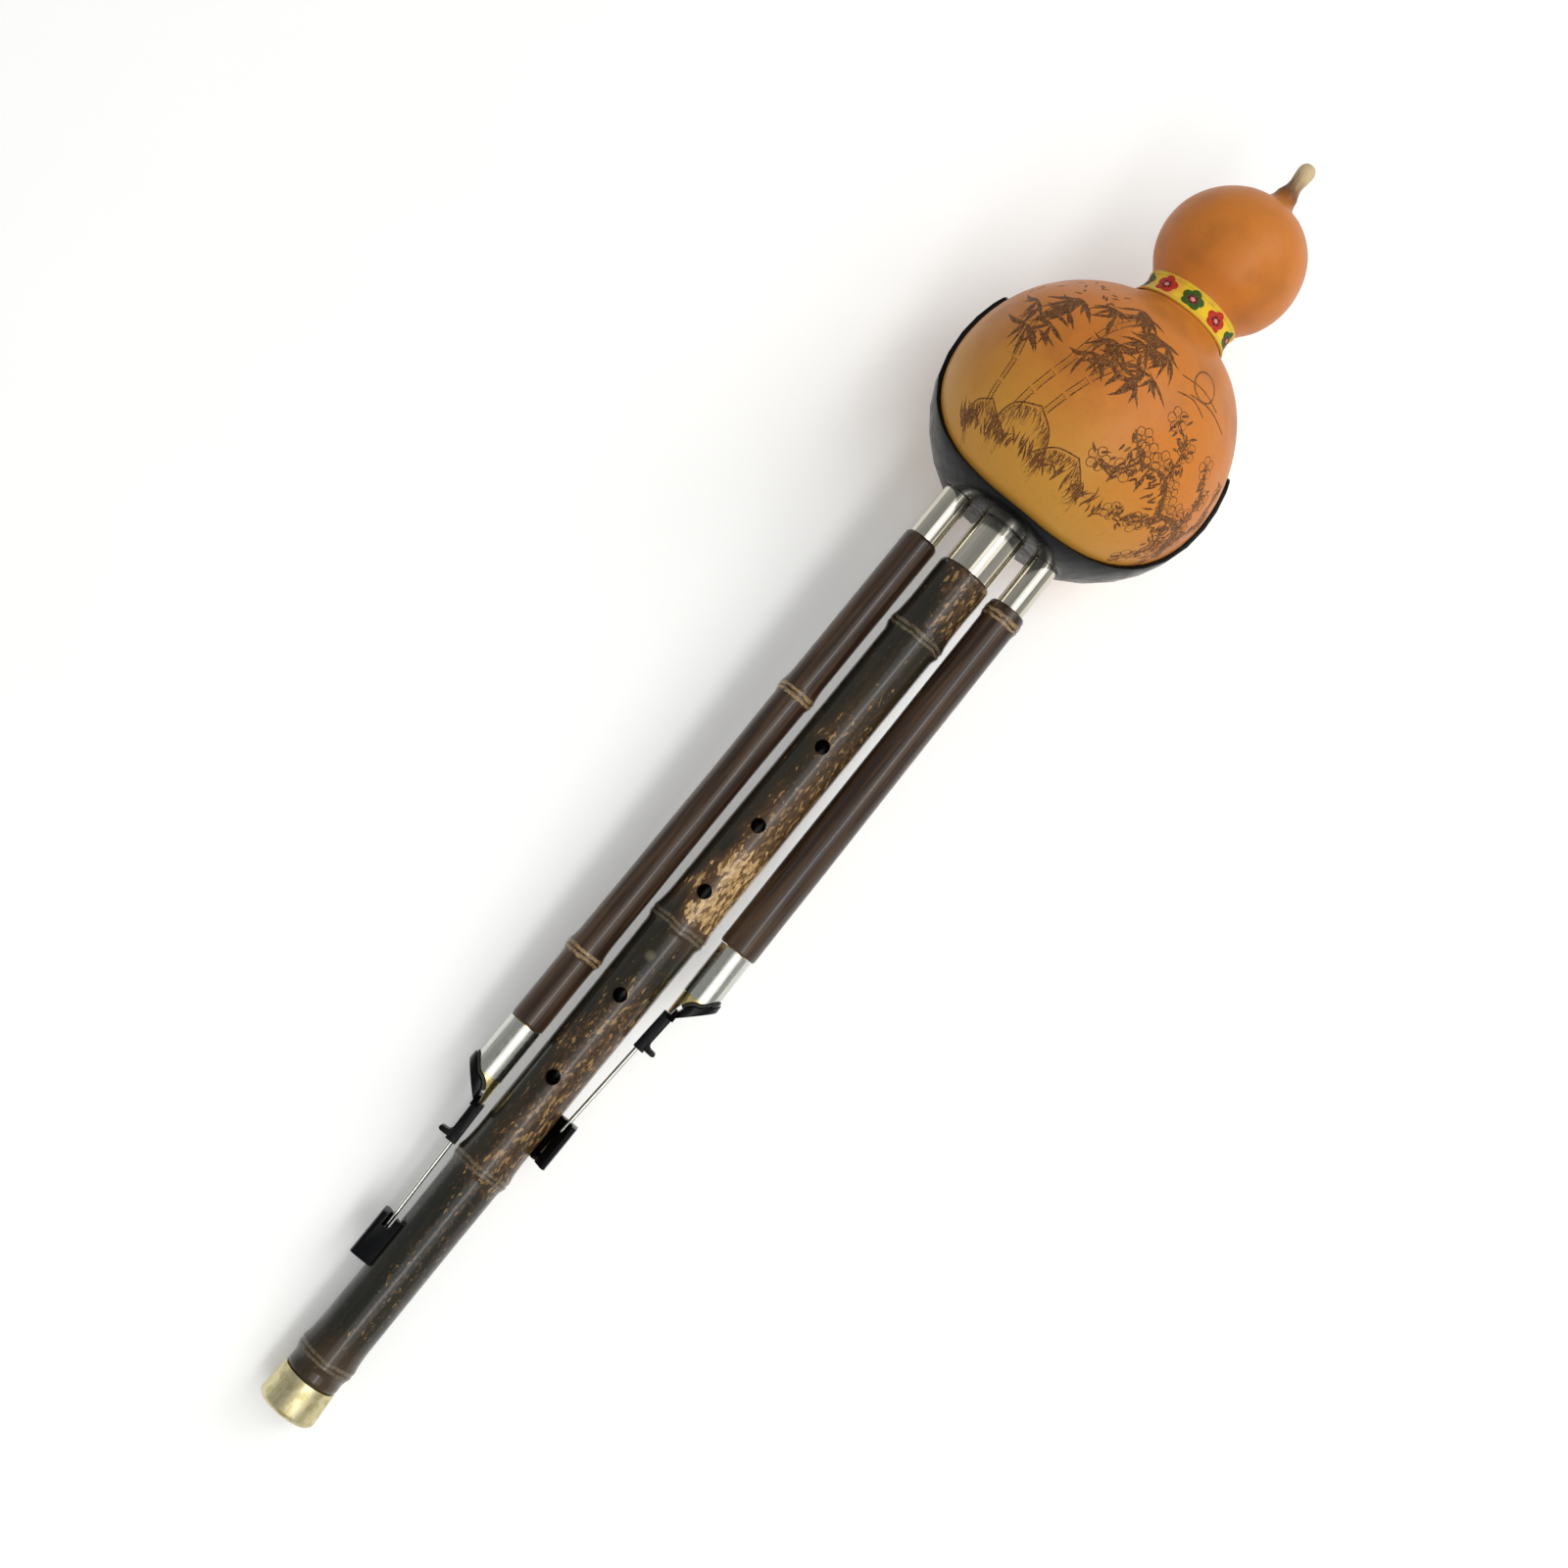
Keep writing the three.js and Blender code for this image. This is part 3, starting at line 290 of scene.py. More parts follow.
class MetalSettings(bpy.types.PropertyGroup):
    chrome: colour("Chrome", "Neck tubes", 0xD3CEC0)
    steel: colour("Steel", "Sleeves and rods", 0xD2D3CA)
    brass: colour("Brass", "Liners, reeds and plugs", 0xF2DE9A)
    champagne: colour("Foot ring", "Pale plate of the foot ring", 0xDAD0A6)
    tarnish: colour("Tarnish", "Cloudy patches of the foot ring", 0xA4944C)
    black: colour("Black plastic", "Cap, shutters and guides", 0x08090B)
    rubber: colour("Rubber", "Pads and seals", 0x1F2018)
    cork: colour("Cork", "Tuning corks", 0xB98F60)
    bevel: length("Eased edge", "Rounding of moulded and turned edges", 0.18 * MM)


class StageSettings(bpy.types.PropertyGroup):
    floor: colour("Floor", "Pale studio floor", 0xF6F6F4)
    world: bpy.props.FloatProperty(
        name="World", description="Strength of the light from all round", default=0.36, min=0, max=1,
        subtype="FACTOR",
    )
    key: power("Key", "Power of the softbox", 18)
    strip: power("Strip", "Power of the long strip", 12)
    card: power("Card", "Power of the broad card", 18)
    distance: length("Camera distance", "From the point that the camera aims at", 0.765)
    lens: bpy.props.FloatProperty(
        name="Lens", description="Focal length", default=50.625, unit="CAMERA", subtype="DISTANCE_CAMERA"
    )


# Shapes

def smooth_through(points, step):
    """Points about a step apart, on a smooth curve through the given ones that keeps sharp corners."""
    sharp = math.cos(CORNER_ANGLE)
    spans = [b - a for a, b in zip(points, points[1:])]
    leaving, arriving = [], []
    for i in range(len(points)):
        before, after = spans[max(i - 1, 0)], spans[min(i, len(spans) - 1)]
        if before.normalized().dot(after.normalized()) < sharp:
            arriving.append(before.normalized())
            leaving.append(after.normalized())
        else:
            slope = (before + after) / (before.length + after.length)
            arriving.append(slope)
            leaving.append(slope)
    curve = []
    for i, span in enumerate(spans):
        count = max(1, round(span.length / step))
        for k in range(count):
            t = k / count
            curve.append(
                points[i] * (2 * t ** 3 - 3 * t ** 2 + 1) + points[i + 1] * (3 * t ** 2 - 2 * t ** 3)
                + leaving[i] * span.length * (t ** 3 - 2 * t ** 2 + t)
                + arriving[i + 1] * span.length * (t ** 3 - t ** 2)
            )
    return curve + [points[-1]]


def outer_rings(node, upright):
    """The outer rings of a turned CAD node, from its foot up: vectors of centre, radius and height."""
    inverse = upright.inverted()
    turn = inverse.to_3x3()
    spots = [(inverse @ v.co, turn @ v.normal) for v in frame["nodes"][node].data.vertices]
    rings = []
    for level in clusters(spots, lambda spot: spot[0].z, SAME_LEVEL):
        sides = [place.x for place, _ in level]
        centre = (min(sides) + max(sides)) / 2
        outside = []
        for place, normal in level:
            out = Vector((place.x - centre, place.y))
            if normal.xy.dot(out) > OUTWARD * out.length:
                outside.append((out.length, math.atan2(out.y, out.x)))
        height = sum(place.z for place, _ in level) / len(level)
        for ring in clusters(outside, lambda spot: spot[0], SAME_RING):
            if len({round(angle, 2) for _, angle in ring}) > RING_CORNERS:
                radius = sum(reach for reach, _ in ring) / len(ring)
                rings.append(Vector((centre, radius, height)))
    return rings


def top_bore(node, upright):
    """The bore radius at the top of a turned CAD node."""
    inverse = upright.inverted()
    places = [inverse @ vertex.co for vertex in frame["nodes"][node].data.vertices]
    level = clusters(places, lambda place: place.z, SAME_LEVEL)[-1]
    centre = sum(place.x for place in level) / len(level)
    return min(math.hypot(place.x - centre, place.y) for place in level)


def clusters(items, key, gap):
    """Items in groups whose keys lie less than a gap apart."""
    groups = []
    for item in sorted(items, key=key):
        if groups and key(item) - key(groups[-1][-1]) < gap:
            groups[-1].append(item)
        else:
            groups.append([item])
    return groups


def offset_rings(rings, distance):
    """The same rings moved inwards, square to the outline."""
    moved = []
    for i, ring in enumerate(rings):
        along = rings[min(i + 1, len(rings) - 1)] - rings[max(i - 1, 0)]
        side = Vector((0, -along.z, along.y)).normalized()
        moved.append(ring + side * distance)
    return moved


def loft(name, rings, sides, upright, swell=None):
    """A closed mesh through round rings, the last joined to the first. swell adds to a radius."""
    corners = []
    for centre, radius, height in rings:
        for j in range(sides):
            angle = FULL_TURN * j / sides
            reach = radius + (swell(angle, height) if swell else 0)
            side = Vector((centre + reach * math.cos(angle), reach * math.sin(angle), height))
            corners.append(upright @ side)
    faces = []
    for i in range(len(rings)):
        low, high = i * sides, (i + 1) % len(rings) * sides
        for j in range(sides):
            k = (j + 1) % sides
            faces.append((low + j, low + k, high + k, high + j))
    return shaded(name, corners, faces)


def shaded(name, corners, faces):
    """A new object with smooth shading."""
    mesh = bpy.data.meshes.new(name)
    mesh.from_pydata(corners, [], faces)
    smooth(mesh)
    return placed(name, mesh)


def placed(name, data):
    """A new object in the scene."""
    piece = bpy.data.objects.new(name, data)
    bpy.context.scene.collection.objects.link(piece)
    return piece


def smooth(mesh):
    """Shades facets smoothly up to sharp edges."""
    mesh.shade_smooth()
    mesh.set_sharp_from_angle(angle=EDGE_ANGLE)


def bored(name, rings, bore, sides, upright, swell=None):
    """A lofted pipe with a straight bore."""
    foot, top = rings[0], rings[-1]
    wall = [Vector((top.x, bore, top.z)), Vector((foot.x, bore, foot.z))]
    return loft(name, [*rings, *wall], sides, upright, swell)


def cut_out(piece, cutter):
    """Takes a cutter's shape out of a piece for good."""
    cut = piece.modifiers.new("Holes", "BOOLEAN")
    cut.operation, cut.solver, cut.object = "DIFFERENCE", "EXACT", cutter
    evaluated = piece.evaluated_get(bpy.context.evaluated_depsgraph_get())
    mesh = bpy.data.meshes.new_from_object(evaluated)
    piece.modifiers.clear()
    piece.data = mesh
    smooth(mesh)
    bpy.data.objects.remove(cutter)


class Strokes:
    """Closed strokes that lie on a surface, gathered into one mesh.
    surface gives the place and the normal of a spot on it, rise is a stroke's height."""

    def __init__(self, surface, rise):
        self.surface, self.rise = surface, rise
        self.corners, self.faces = [], []

    def line(self, spots, widths):
        places = [self.surface(*spot) for spot in spots]
        start, last = len(self.corners), len(spots) - 1
        for i, ((place, normal), width) in enumerate(zip(places, widths)):
            along = places[min(i + 1, last)][0] - places[max(i - 1, 0)][0]
            side = normal.cross(along).normalized() * width * MM / 2
            foot = place - normal * STROKE_SINK
            self.corners += [foot + side, place + normal * self.rise, foot - side]
        for i in range(last):
            low, high = start + 3 * i, start + 3 * i + 3
            for k in range(3):
                m = (k + 1) % 3
                self.faces.append((low + k, low + m, high + m, high + k))
        end = start + 3 * last
        self.faces += [(start + 2, start + 1, start), (end, end + 1, end + 2)]

    def even(self, spots, width):
        """A line of one width that thins out at both ends."""
        last = len(spots) - 1
        self.line(spots, [width * (0.35 if i in (0, last) else 1) for i in range(last + 1)])

    def leaf(self, spot, angle, size, width, curl=0.0):
        """A leaf from its stalk end."""
        steps = 6
        spots, widths = [], []
        for i in range(steps + 1):
            t = i / steps
            turn = angle + curl * t
            spots.append((spot[0] + size * t * math.cos(turn), spot[1] + size * t * math.sin(turn)))
            widths.append(max(0.06, max(0.0, math.sin(math.pi * t ** 0.8)) ** 0.9) * width)
        self.line(spots, widths)

    def rosette(self, spot, reach, flat, notch, turn, sides=40):
        """A full flower of five lobes. flat is its height and notch the cut between two lobes, as
        shares of its width and of its reach."""
        middle = len(self.corners)
        place, normal = self.surface(*spot)
        self.corners += [place + normal * self.rise, place - normal * 4 * STROKE_SINK]
        for share_out, lift in ((0.45, self.rise), (0.85, self.rise * 0.8), (1.0, -STROKE_SINK)):
            for k in range(sides):
                angle = FULL_TURN * k / sides
                lobe = abs(math.cos(LOBES / 2 * (angle - turn)))
                out = reach * share_out * (1 - notch * share_out * (1 - lobe))
                place, normal = self.surface(
                    spot[0] + out * math.cos(angle), spot[1] + flat * out * math.sin(angle)
                )
                self.corners.append(place + normal * lift)
        for k in range(sides):
            inner, beside = middle + 2 + k, middle + 2 + (k + 1) % sides
            self.faces += [
                (middle, inner, beside), (inner, inner + sides, beside + sides, beside),
                (inner + sides, inner + 2 * sides, beside + 2 * sides, beside + sides),
                (middle + 1, beside + 2 * sides, inner + 2 * sides),
            ]

    def ring(self, spot, radius, width, sides):
        turns = [FULL_TURN * i / sides for i in range(sides + 1)]
        self.even([
            (spot[0] + radius * math.cos(a), spot[1] + radius * math.sin(a)) for a in turns
        ], width)

    def piece(self, name):
        return shaded(name, self.corners, self.faces)


# Node trees

class Layout:
    """Short calls that lay out the nodes of a material or of a node group."""

    def __init__(self, tree):
        self.tree = tree

    def node(self, kind, inputs=(), **settings):
        node = self.tree.nodes.new(kind)
        for key, value in settings.items():
            setattr(node, key, value)
        for key, value in dict(inputs).items():
            if isinstance(value, bpy.types.NodeSocket):
                self.tree.links.new(value, node.inputs[key])
            else:
                node.inputs[key].default_value = value
        return node

    def math(self, operation, a, b=0.0, c=0.0):
        return self.node("ShaderNodeMath", {0: a, 1: b, 2: c}, operation=operation).outputs[0]

    def mix(self, factor, *tones):
        sides = {
            key: tone if isinstance(tone, bpy.types.NodeSocket) else (*tone, 1)
            for key, tone in zip((6, 7), tones)
        }
        return self.node("ShaderNodeMix", {0: factor, **sides}, data_type="RGBA").outputs[2]

    def tint(self, base, tone, mask, share):
        """A base with a tone over it where a mask shows, by a share."""
        return self.mix(self.math("MULTIPLY", mask, share), base, tone)

    def stain(self, base, tone, value, low, high, start=0.0, end=1.0):
        """A base with a tone over it, whose share goes from start to end as a value rises."""
        return self.mix(self.ease(value, low, high, start, end), base, tone)

    def noise(self, vector, scale=1.0, detail=2.0, roughness=0.5):
        inputs = {"Vector": vector, "Scale": scale, "Detail": detail, "Roughness": roughness}
        return self.node("ShaderNodeTexNoise", inputs).outputs[0]

    def scaled(self, vector, factors):
        return self.node("ShaderNodeVectorMath", {0: vector, 1: factors}, operation="MULTIPLY").outputs[0]

    def ease(self, value, low, high, to_low=0.0, to_high=1.0):
        inputs = {"Value": value, "From Min": low, "From Max": high, "To Min": to_low, "To Max": to_high}
        return self.node("ShaderNodeMapRange", inputs, interpolation_type="SMOOTHSTEP").outputs[0]

    def levels(self, value, stops):
        """A grey level for each share of a ramp."""
        ramp = self.node("ShaderNodeValToRGB", {0: value})
        elements = ramp.color_ramp.elements
        elements.remove(elements[1])
        (elements[0].position, first), *others = sorted(stops)
        elements[0].color = (first, first, first, 1)
        for place, level in others:
            elements.new(place).color = (level, level, level, 1)
        return ramp.outputs[0]

    def near_level(self, value, level, reach):
        """1 at a level, falling to 0 a reach away on both sides."""
        away = self.math("ABSOLUTE", self.math("SUBTRACT", value, level))
        return self.ease(away, reach / 2, reach, 1.0, 0.0)

    def near(self, vector, spot, inner, outer):
        """1 within the inner distance of a spot, falling to 0 at the outer one."""
        away = self.node("ShaderNodeVectorMath", {0: vector, 1: spot}, operation="DISTANCE").outputs[1]
        return self.ease(away, inner, outer, 1.0, 0.0)

    def group(self, tree, inputs=()):
        return self.node("ShaderNodeGroup", inputs, node_tree=tree).outputs


def node_group(name, build, inputs=()):
    """A shader node group, made once. inputs hold the defaults, and build returns the outputs."""
    if name in bpy.data.node_groups:
        return bpy.data.node_groups[name]
    tree = bpy.data.node_groups.new(name, "ShaderNodeTree")

    def add_socket(title, way, vector):
        kind = "NodeSocketVector" if vector else "NodeSocketFloat"
        return tree.interface.new_socket(title, in_out=way, socket_type=kind)

    for title, default in dict(inputs).items():
        add_socket(title, "INPUT", isinstance(default, tuple)).default_value = default
    layout = Layout(tree)
    made = build(layout, layout.node("NodeGroupInput").outputs)
    for title, socket in made.items():
        add_socket(title, "OUTPUT", socket.type == "VECTOR")
    layout.node("NodeGroupOutput", made)
    return tree


def upright_place():
    """Group: a point of the object in upright millimetres."""
    def build(layout, _):
        place = layout.node("ShaderNodeTexCoord").outputs["Object"]
        mapping = layout.node("ShaderNodeMapping", {
            "Vector": place, "Location": FOOT, "Rotation": UPRIGHT.to_euler(), "Scale": (MM, MM, MM),
        }, vector_type="TEXTURE").outputs[0]
        height = layout.node("ShaderNodeSeparateXYZ", {0: mapping}).outputs[2]
        return {"Place": mapping, "Height": height}
    return node_group("Upright place", build)


def lengthwise_grain():
    """Group: streaks and fine fibres along the pipes."""
    def build(layout, given):
        streaks = layout.noise(layout.scaled(given["Place"], given["Streaks"]), detail=3.0)
        fibres = layout.noise(layout.scaled(given["Place"], (5.0, 5.0, 0.16)), detail=4.0, roughness=0.6)
        return {"Streaks": streaks, "Fibres": fibres}
    return node_group("Lengthwise grain", build, {"Place": NOWHERE, "Streaks": (0.8, 0.8, 0.03)})


def handling_wear():
    """Group: a roughness with smudges in it, and fine pits as a height."""
    def build(layout, given):
        smudges = layout.noise(given["Place"], scale=given["Smudges"], detail=4.0, roughness=0.6)
        roughness = layout.ease(smudges, 0.32, 0.7, given["Least"], given["Most"])
        pits = layout.noise(given["Place"], scale=given["Pits"], detail=3.0, roughness=0.6)
        return {"Roughness": roughness, "Pits": pits}
    return node_group("Handling wear", build, {
        "Place": NOWHERE, "Smudges": 0.12, "Least": 0.2, "Most": 0.4, "Pits": 2.5,
    })


class Finish(Layout):
    """A material round one Principled shader, with the upright place at hand."""

    def __init__(self, name, constants=()):
        self.material = bpy.data.materials.new(name)
        self.material.use_nodes = True
        super().__init__(self.material.node_tree)
        self.shader = self.tree.nodes["Principled BSDF"]
        for key, value in dict(constants).items():
            self.shader.inputs[key].default_value = value
        place = self.group(upright_place())
        self.place, self.height = place["Place"], place["Height"]
        self.x, self.y, _ = self.node("ShaderNodeSeparateXYZ", {0: self.place}).outputs

    def mottle(self, scale, detail=2.0, roughness=0.5):
        """A noise in upright millimetres. Three scales stretch it along the axes."""
        if isinstance(scale, tuple):
            return self.noise(self.scaled(self.place, scale), 1.0, detail, roughness)
        return self.noise(self.place, scale, detail, roughness)

    def waver(self, noise, reach):
        """The height, moved up and down by a noise."""
        return self.math("MULTIPLY_ADD", self.math("SUBTRACT", noise, 0.5), reach, self.height)

    def grain(self, streaks):
        return self.group(lengthwise_grain(), {"Place": self.place, "Streaks": streaks})

    def wear(self, least, most, smudges, pits=2.5):
        """Feeds a worn roughness to the shader, and gives the pits."""
        worn = self.group(handling_wear(), {
            "Place": self.place, "Smudges": smudges, "Least": least, "Most": most, "Pits": pits,
        })
        self.feed("Roughness", worn["Roughness"])
        return worn["Pits"]

    def feed(self, key, socket):
        self.tree.links.new(socket, self.shader.inputs[key])

    def done(self, tone, relief, depth):
        """The material, with bumps of a depth in millimetres."""
        self.feed("Base Color", tone)
        bump = self.node("ShaderNodeBump", {"Height": relief, "Distance": depth * MM, "Strength": 1.0})
        self.feed("Normal", bump.outputs[0])
        return self.material


# Finishes

def dimmed(tone, strength):
    return tuple(channel * strength for channel in tone)


def gourd_skin(look):
    finish = Finish("Varnished gourd", SOFT_VARNISH)
    clouds = finish.mottle(0.04, 3.0)
    fine = finish.mottle(0.5, 5.0, 0.65)
    freckles = finish.mottle(1.7)
    skin = finish.stain(look.skin, look.shade, clouds, 0.46, 0.72, end=0.55)
    drift = finish.math("MULTIPLY_ADD", clouds, OCHRE_WAVER, -OCHRE_WAVER / 2)
    level = finish.math("MULTIPLY_ADD", finish.x, OCHRE_LEAN, finish.height)
    level = finish.math("ADD", level, drift)
    skin = finish.stain(skin, look.ochre, level, *OCHRE_SPAN, 0.95, 0.0)
    skin = finish.stain(skin, look.shade, fine, 0.5, 0.75, end=0.22)
    skin = finish.stain(skin, look.shade, freckles, 0.68, 0.76, end=0.4)
    low, high = (stalk_foot() + step for step in CROWN_SPAN)
    skin = finish.stain(skin, look.stalk_foot, finish.height, low, high, end=0.85)
    finish.wear(0.36, 0.48, 0.07)
    return finish.done(skin, fine, 0.03)


def burnt_wood(name, tone, edge):
    finish = Finish(name, {"Specular IOR Level": 0.2})
    scorch = finish.mottle(0.9, 4.0, 0.7)
    hatch = finish.mottle((3.2, 3.2, 1.1))
    burn = finish.math("MULTIPLY_ADD", hatch, 0.6, finish.math("MULTIPLY", scorch, 0.4))
    pits = finish.wear(0.45, 0.65, 0.6, pits=4.0)
    return finish.done(finish.stain(tone, edge, burn, 0.42, 0.56), pits, 0.03)


def stalk_foot():
    """Upright height in millimetres at which the stalk leaves the gourd."""
    _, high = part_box("mouthpiece_stem")
    return (UPRIGHT.inverted() @ high).z / MM - STALK_SHOWN


def dry_stalk(gourd):
    finish = Finish("Dry stalk", {"IOR": 1.45})
    grain = finish.grain((1.6, 1.6, 0.12))
    level = finish.waver(grain["Streaks"], STALK_WAVER)
    # The lean across the pipes makes the stalk pale sooner on its lit side, a painted highlight; the paler dry tip
    # higher up is its own colour.
    level = finish.math("MULTIPLY_ADD", finish.x, 0.5, level)
    low, high = (stalk_foot() + step for step in STALK_SPAN)
    wood = finish.stain(gourd.stalk_foot, gourd.stalk, level, low, high)
    wood = finish.stain(wood, gourd.stalk_foot, grain["Fibres"], 0.5, 0.72, end=0.45)
    finish.wear(0.45, 0.7, 0.5)
    return finish.done(wood, grain["Fibres"], 0.08)


def woven_ribbon(look, rings):
    finish = Finish("Woven ribbon", {"Sheen Weight": 0.25, "Sheen Roughness": 0.4})
    low, high = rings[0].z / MM, rings[-1].z / MM
    middle, half = (low + high) / 2, (high - low) / 2
    radius = min(ring.y for ring in rings) / MM
    turn = finish.math("ARCTAN2", finish.y, finish.x)
    around = finish.math("MULTIPLY", turn, radius * math.pi / THREAD_PITCH[0])
    across = finish.math("MULTIPLY", finish.height, math.pi / THREAD_PITCH[1])
    weave = finish.math("MULTIPLY", finish.math("SINE", around), finish.math("SINE", across))
    from_middle = finish.math("ABSOLUTE", finish.math("SUBTRACT", finish.height, middle))
    border = finish.ease(from_middle, *(half - step for step in RIBBON_BORDER))
    piping = finish.near_level(from_middle, half - RIBBON_PIPING[0], RIBBON_PIPING[1])
    fade = finish.mottle(0.4, 3.0)
    warm = finish.mottle(0.16)
    ground = finish.stain(look.ground, look.border, fade, 0.4, 0.7, end=0.3)
    ground = finish.tint(ground, look.border, border, 0.6)
    ground = finish.stain(ground, look.amber, warm, 0.48, 0.62, end=0.6)
    ground = finish.tint(ground, look.green, piping, 0.35)
    # Darker in the dips of the weave: painted shade between the threads.
    ground = finish.stain(ground, dimmed(look.ground, 0.35), weave, -0.9, 0.2, 0.35, 0.0)
    finish.wear(0.65, 0.85, 0.5)
    return finish.done(ground, weave, 0.05)


def embroidery(name, tone):
    finish = Finish(name, {"Sheen Weight": 0.1, "Sheen Roughness": 0.35, "Specular IOR Level": 0.3})
    strands = finish.mottle((2.0, 2.0, 7.0), 3.0, 0.6)
    finish.wear(0.55, 0.8, 0.7)
    # The thread darkens in the strands' dips, where the bump is low: painted shade between the strands.
    return finish.done(finish.stain(dimmed(tone, 0.45), tone, strands, 0.36, 0.56), strands, 0.06)


def worn_ridges():
    """Group: 1 on the two ridges of a bamboo node, from the height over its groove."""
    def build(layout, given):
        lower, upper = (layout.near_level(given["Over groove"], *ridge) for ridge in RIDGES)
        return {"Ridge": layout.math("MAXIMUM", lower, upper)}
    return node_group("Worn ridges", build, {"Over groove": 0.0})


def ridge_levels(finish, nodes, unevenness):
    """1 on the worn ridges of bamboo nodes, whose heights are in metres."""
    uneven = finish.waver(unevenness, RIDGE_WAVER)
    ridges = 0.0
    for node in nodes:
        over = finish.math("SUBTRACT", uneven, node / MM)
        ridge = finish.group(worn_ridges(), {"Over groove": over})["Ridge"]
        ridges = finish.math("MAXIMUM", ridges, ridge)
    return ridges


def mottled_bamboo(look, rings, nodes):
    finish = Finish("Mottled bamboo", VARNISH)
    along = finish.math("DIVIDE", finish.height, rings[-1].z / MM)
    dense, brown, cream = (
        finish.levels(along, [(row[0], row[column]) for row in MOTTLE_SHARES])
        for column in (1, 2, 3)
    )
    grain = finish.grain((0.55, 0.55, 0.04))
    blotches = finish.mottle((0.16, 0.16, 0.06), 3.0)
    fine = finish.mottle((0.9, 0.9, 0.42), 3.0, 0.65)
    spots = finish.mottle((0.75, 0.75, 0.3), 2.0, 0.55)

    # Speckles keep to the side towards the short drone
    sideways = finish.math("SUBTRACT", finish.x, SPECKLE_WAVER / 2)
    sideways = finish.math("MULTIPLY_ADD", blotches, SPECKLE_WAVER, sideways)
    side = finish.ease(sideways, *SPECKLE_SPAN)
    brown = finish.math("MULTIPLY", brown, finish.math("MULTIPLY_ADD", side, 0.8, 0.2))
    ground = finish.mix(brown, look.dark, look.brown)
    ground = finish.stain(ground, look.brown, grain["Streaks"], 0.4, 0.7, end=0.25)
    here = finish.math("MULTIPLY", dense, side)
    rusty = finish.math("MULTIPLY_ADD", here, 0.2, fine)
    ground = finish.stain(ground, look.rust, rusty, 0.62, 0.74, end=0.8)
    golden = finish.math("MULTIPLY_ADD", here, 0.2, spots)
    ground = finish.stain(ground, look.gold, golden, 0.7, 0.8, end=0.85)

    pale = finish.math("MULTIPLY", cream, side)
    ground = finish.tint(ground, look.rust, pale, 0.75)
    breaks = finish.math("SUBTRACT", finish.math("MULTIPLY", blotches, 0.3), spots)
    creamy = finish.stain(look.cream, look.gold, fine, 0.4, 0.58)
    shown = finish.math("MULTIPLY_ADD", pale, 0.46, breaks)
    ground = finish.stain(ground, creamy, shown, 0.02, 0.08)

    ridges = ridge_levels(finish, nodes, blotches)
    worn = finish.ease(fine, 0.35, 0.6, 0.25, 0.8)
    ground = finish.tint(ground, look.node, ridges, worn)
    scar = finish.near(finish.place, BUD_SCAR, *SCAR_REACH)
    ground = finish.tint(ground, look.scar, scar, 0.7)
    # Bores and hole walls take the inside colour below the skin: painted shade over the bare bamboo's tone.
    squared = finish.math("MULTIPLY", finish.y, finish.y)
    radius = finish.math("SQRT", finish.math("MULTIPLY_ADD", finish.x, finish.x, squared))
    skin = min(ring.y for ring in rings if ring.z > rings[2].z) / MM
    low, high = (skin - depth for depth in BORE_SHADE_DEPTH)
    ground = finish.stain(ground, look.inside, radius, low, high, 1.0, 0.0)
    finish.wear(0.26, 0.42, 0.14)
    relief = finish.math("MULTIPLY_ADD", ridges, RIDGE_RELIEF, grain["Fibres"])
    return finish.done(ground, relief, 0.03)


def dark_bamboo(name, look, nodes):
    finish = Finish(name, VARNISH)
    grain = finish.grain((0.5, 0.5, 0.02))
    ground = finish.stain(look.drone, look.drone_streak, grain["Streaks"], 0.38, 0.68, end=0.8)
    ground = finish.stain(ground, dimmed(look.drone, 0.4), grain["Fibres"], 0.52, 0.7, end=0.35)
    blotches = finish.mottle(0.45, 3.0, 0.6)
    ridges = ridge_levels(finish, nodes, blotches)
    worn = finish.ease(blotches, 0.36, 0.6, 0.35, 1.0)
    ground = finish.tint(ground, look.drone_node, ridges, worn)
    finish.wear(0.28, 0.44, 0.14)
    return finish.done(ground, grain["Fibres"], 0.035)


def metal(name, tone, least, most, cloud=None):
    """A metal with drawn streaks along the pipes, and clouds of another tone."""
    finish = Finish(name, {"Metallic": 1.0})
    grain = finish.grain((1.4, 1.4, 0.05))
    surface = finish.stain(tone, dimmed(tone, 0.6), grain["Streaks"], 0.35, 0.7, end=0.3)
    if cloud:
        clouds = finish.mottle(0.32, 4.0, 0.6)
        surface = finish.stain(surface, cloud, clouds, 0.42, 0.72, end=0.6)
    pits = finish.wear(least, most, 0.3)
    return finish.done(surface, finish.math("MULTIPLY_ADD", pits, 0.3, grain["Fibres"]), 0.0015)


def moulding(name, tone, least, most, depth, shine=0.5):
    """A moulded plastic or rubber."""
    finish = Finish(name, {"Specular IOR Level": shine})
    dust = finish.mottle(0.5, 5.0, 0.7)
    pale = tuple(c * 1.5 + 0.002 for c in tone)
    pits = finish.wear(least, most, 0.2, pits=3.5)
    return finish.done(finish.stain(tone, pale, dust, 0.45, 0.75, end=0.5), pits, depth)


def sheet_cork(tone):
    finish = Finish("Cork", {"IOR": 1.4})
    grains = finish.mottle(1.1, 4.0, 0.7)
    pits = finish.wear(0.75, 0.95, 0.6)
    return finish.done(finish.stain(dimmed(tone, 0.4), tone, grains, 0.4, 0.6), pits, 0.1)


# CAD nodes that stay

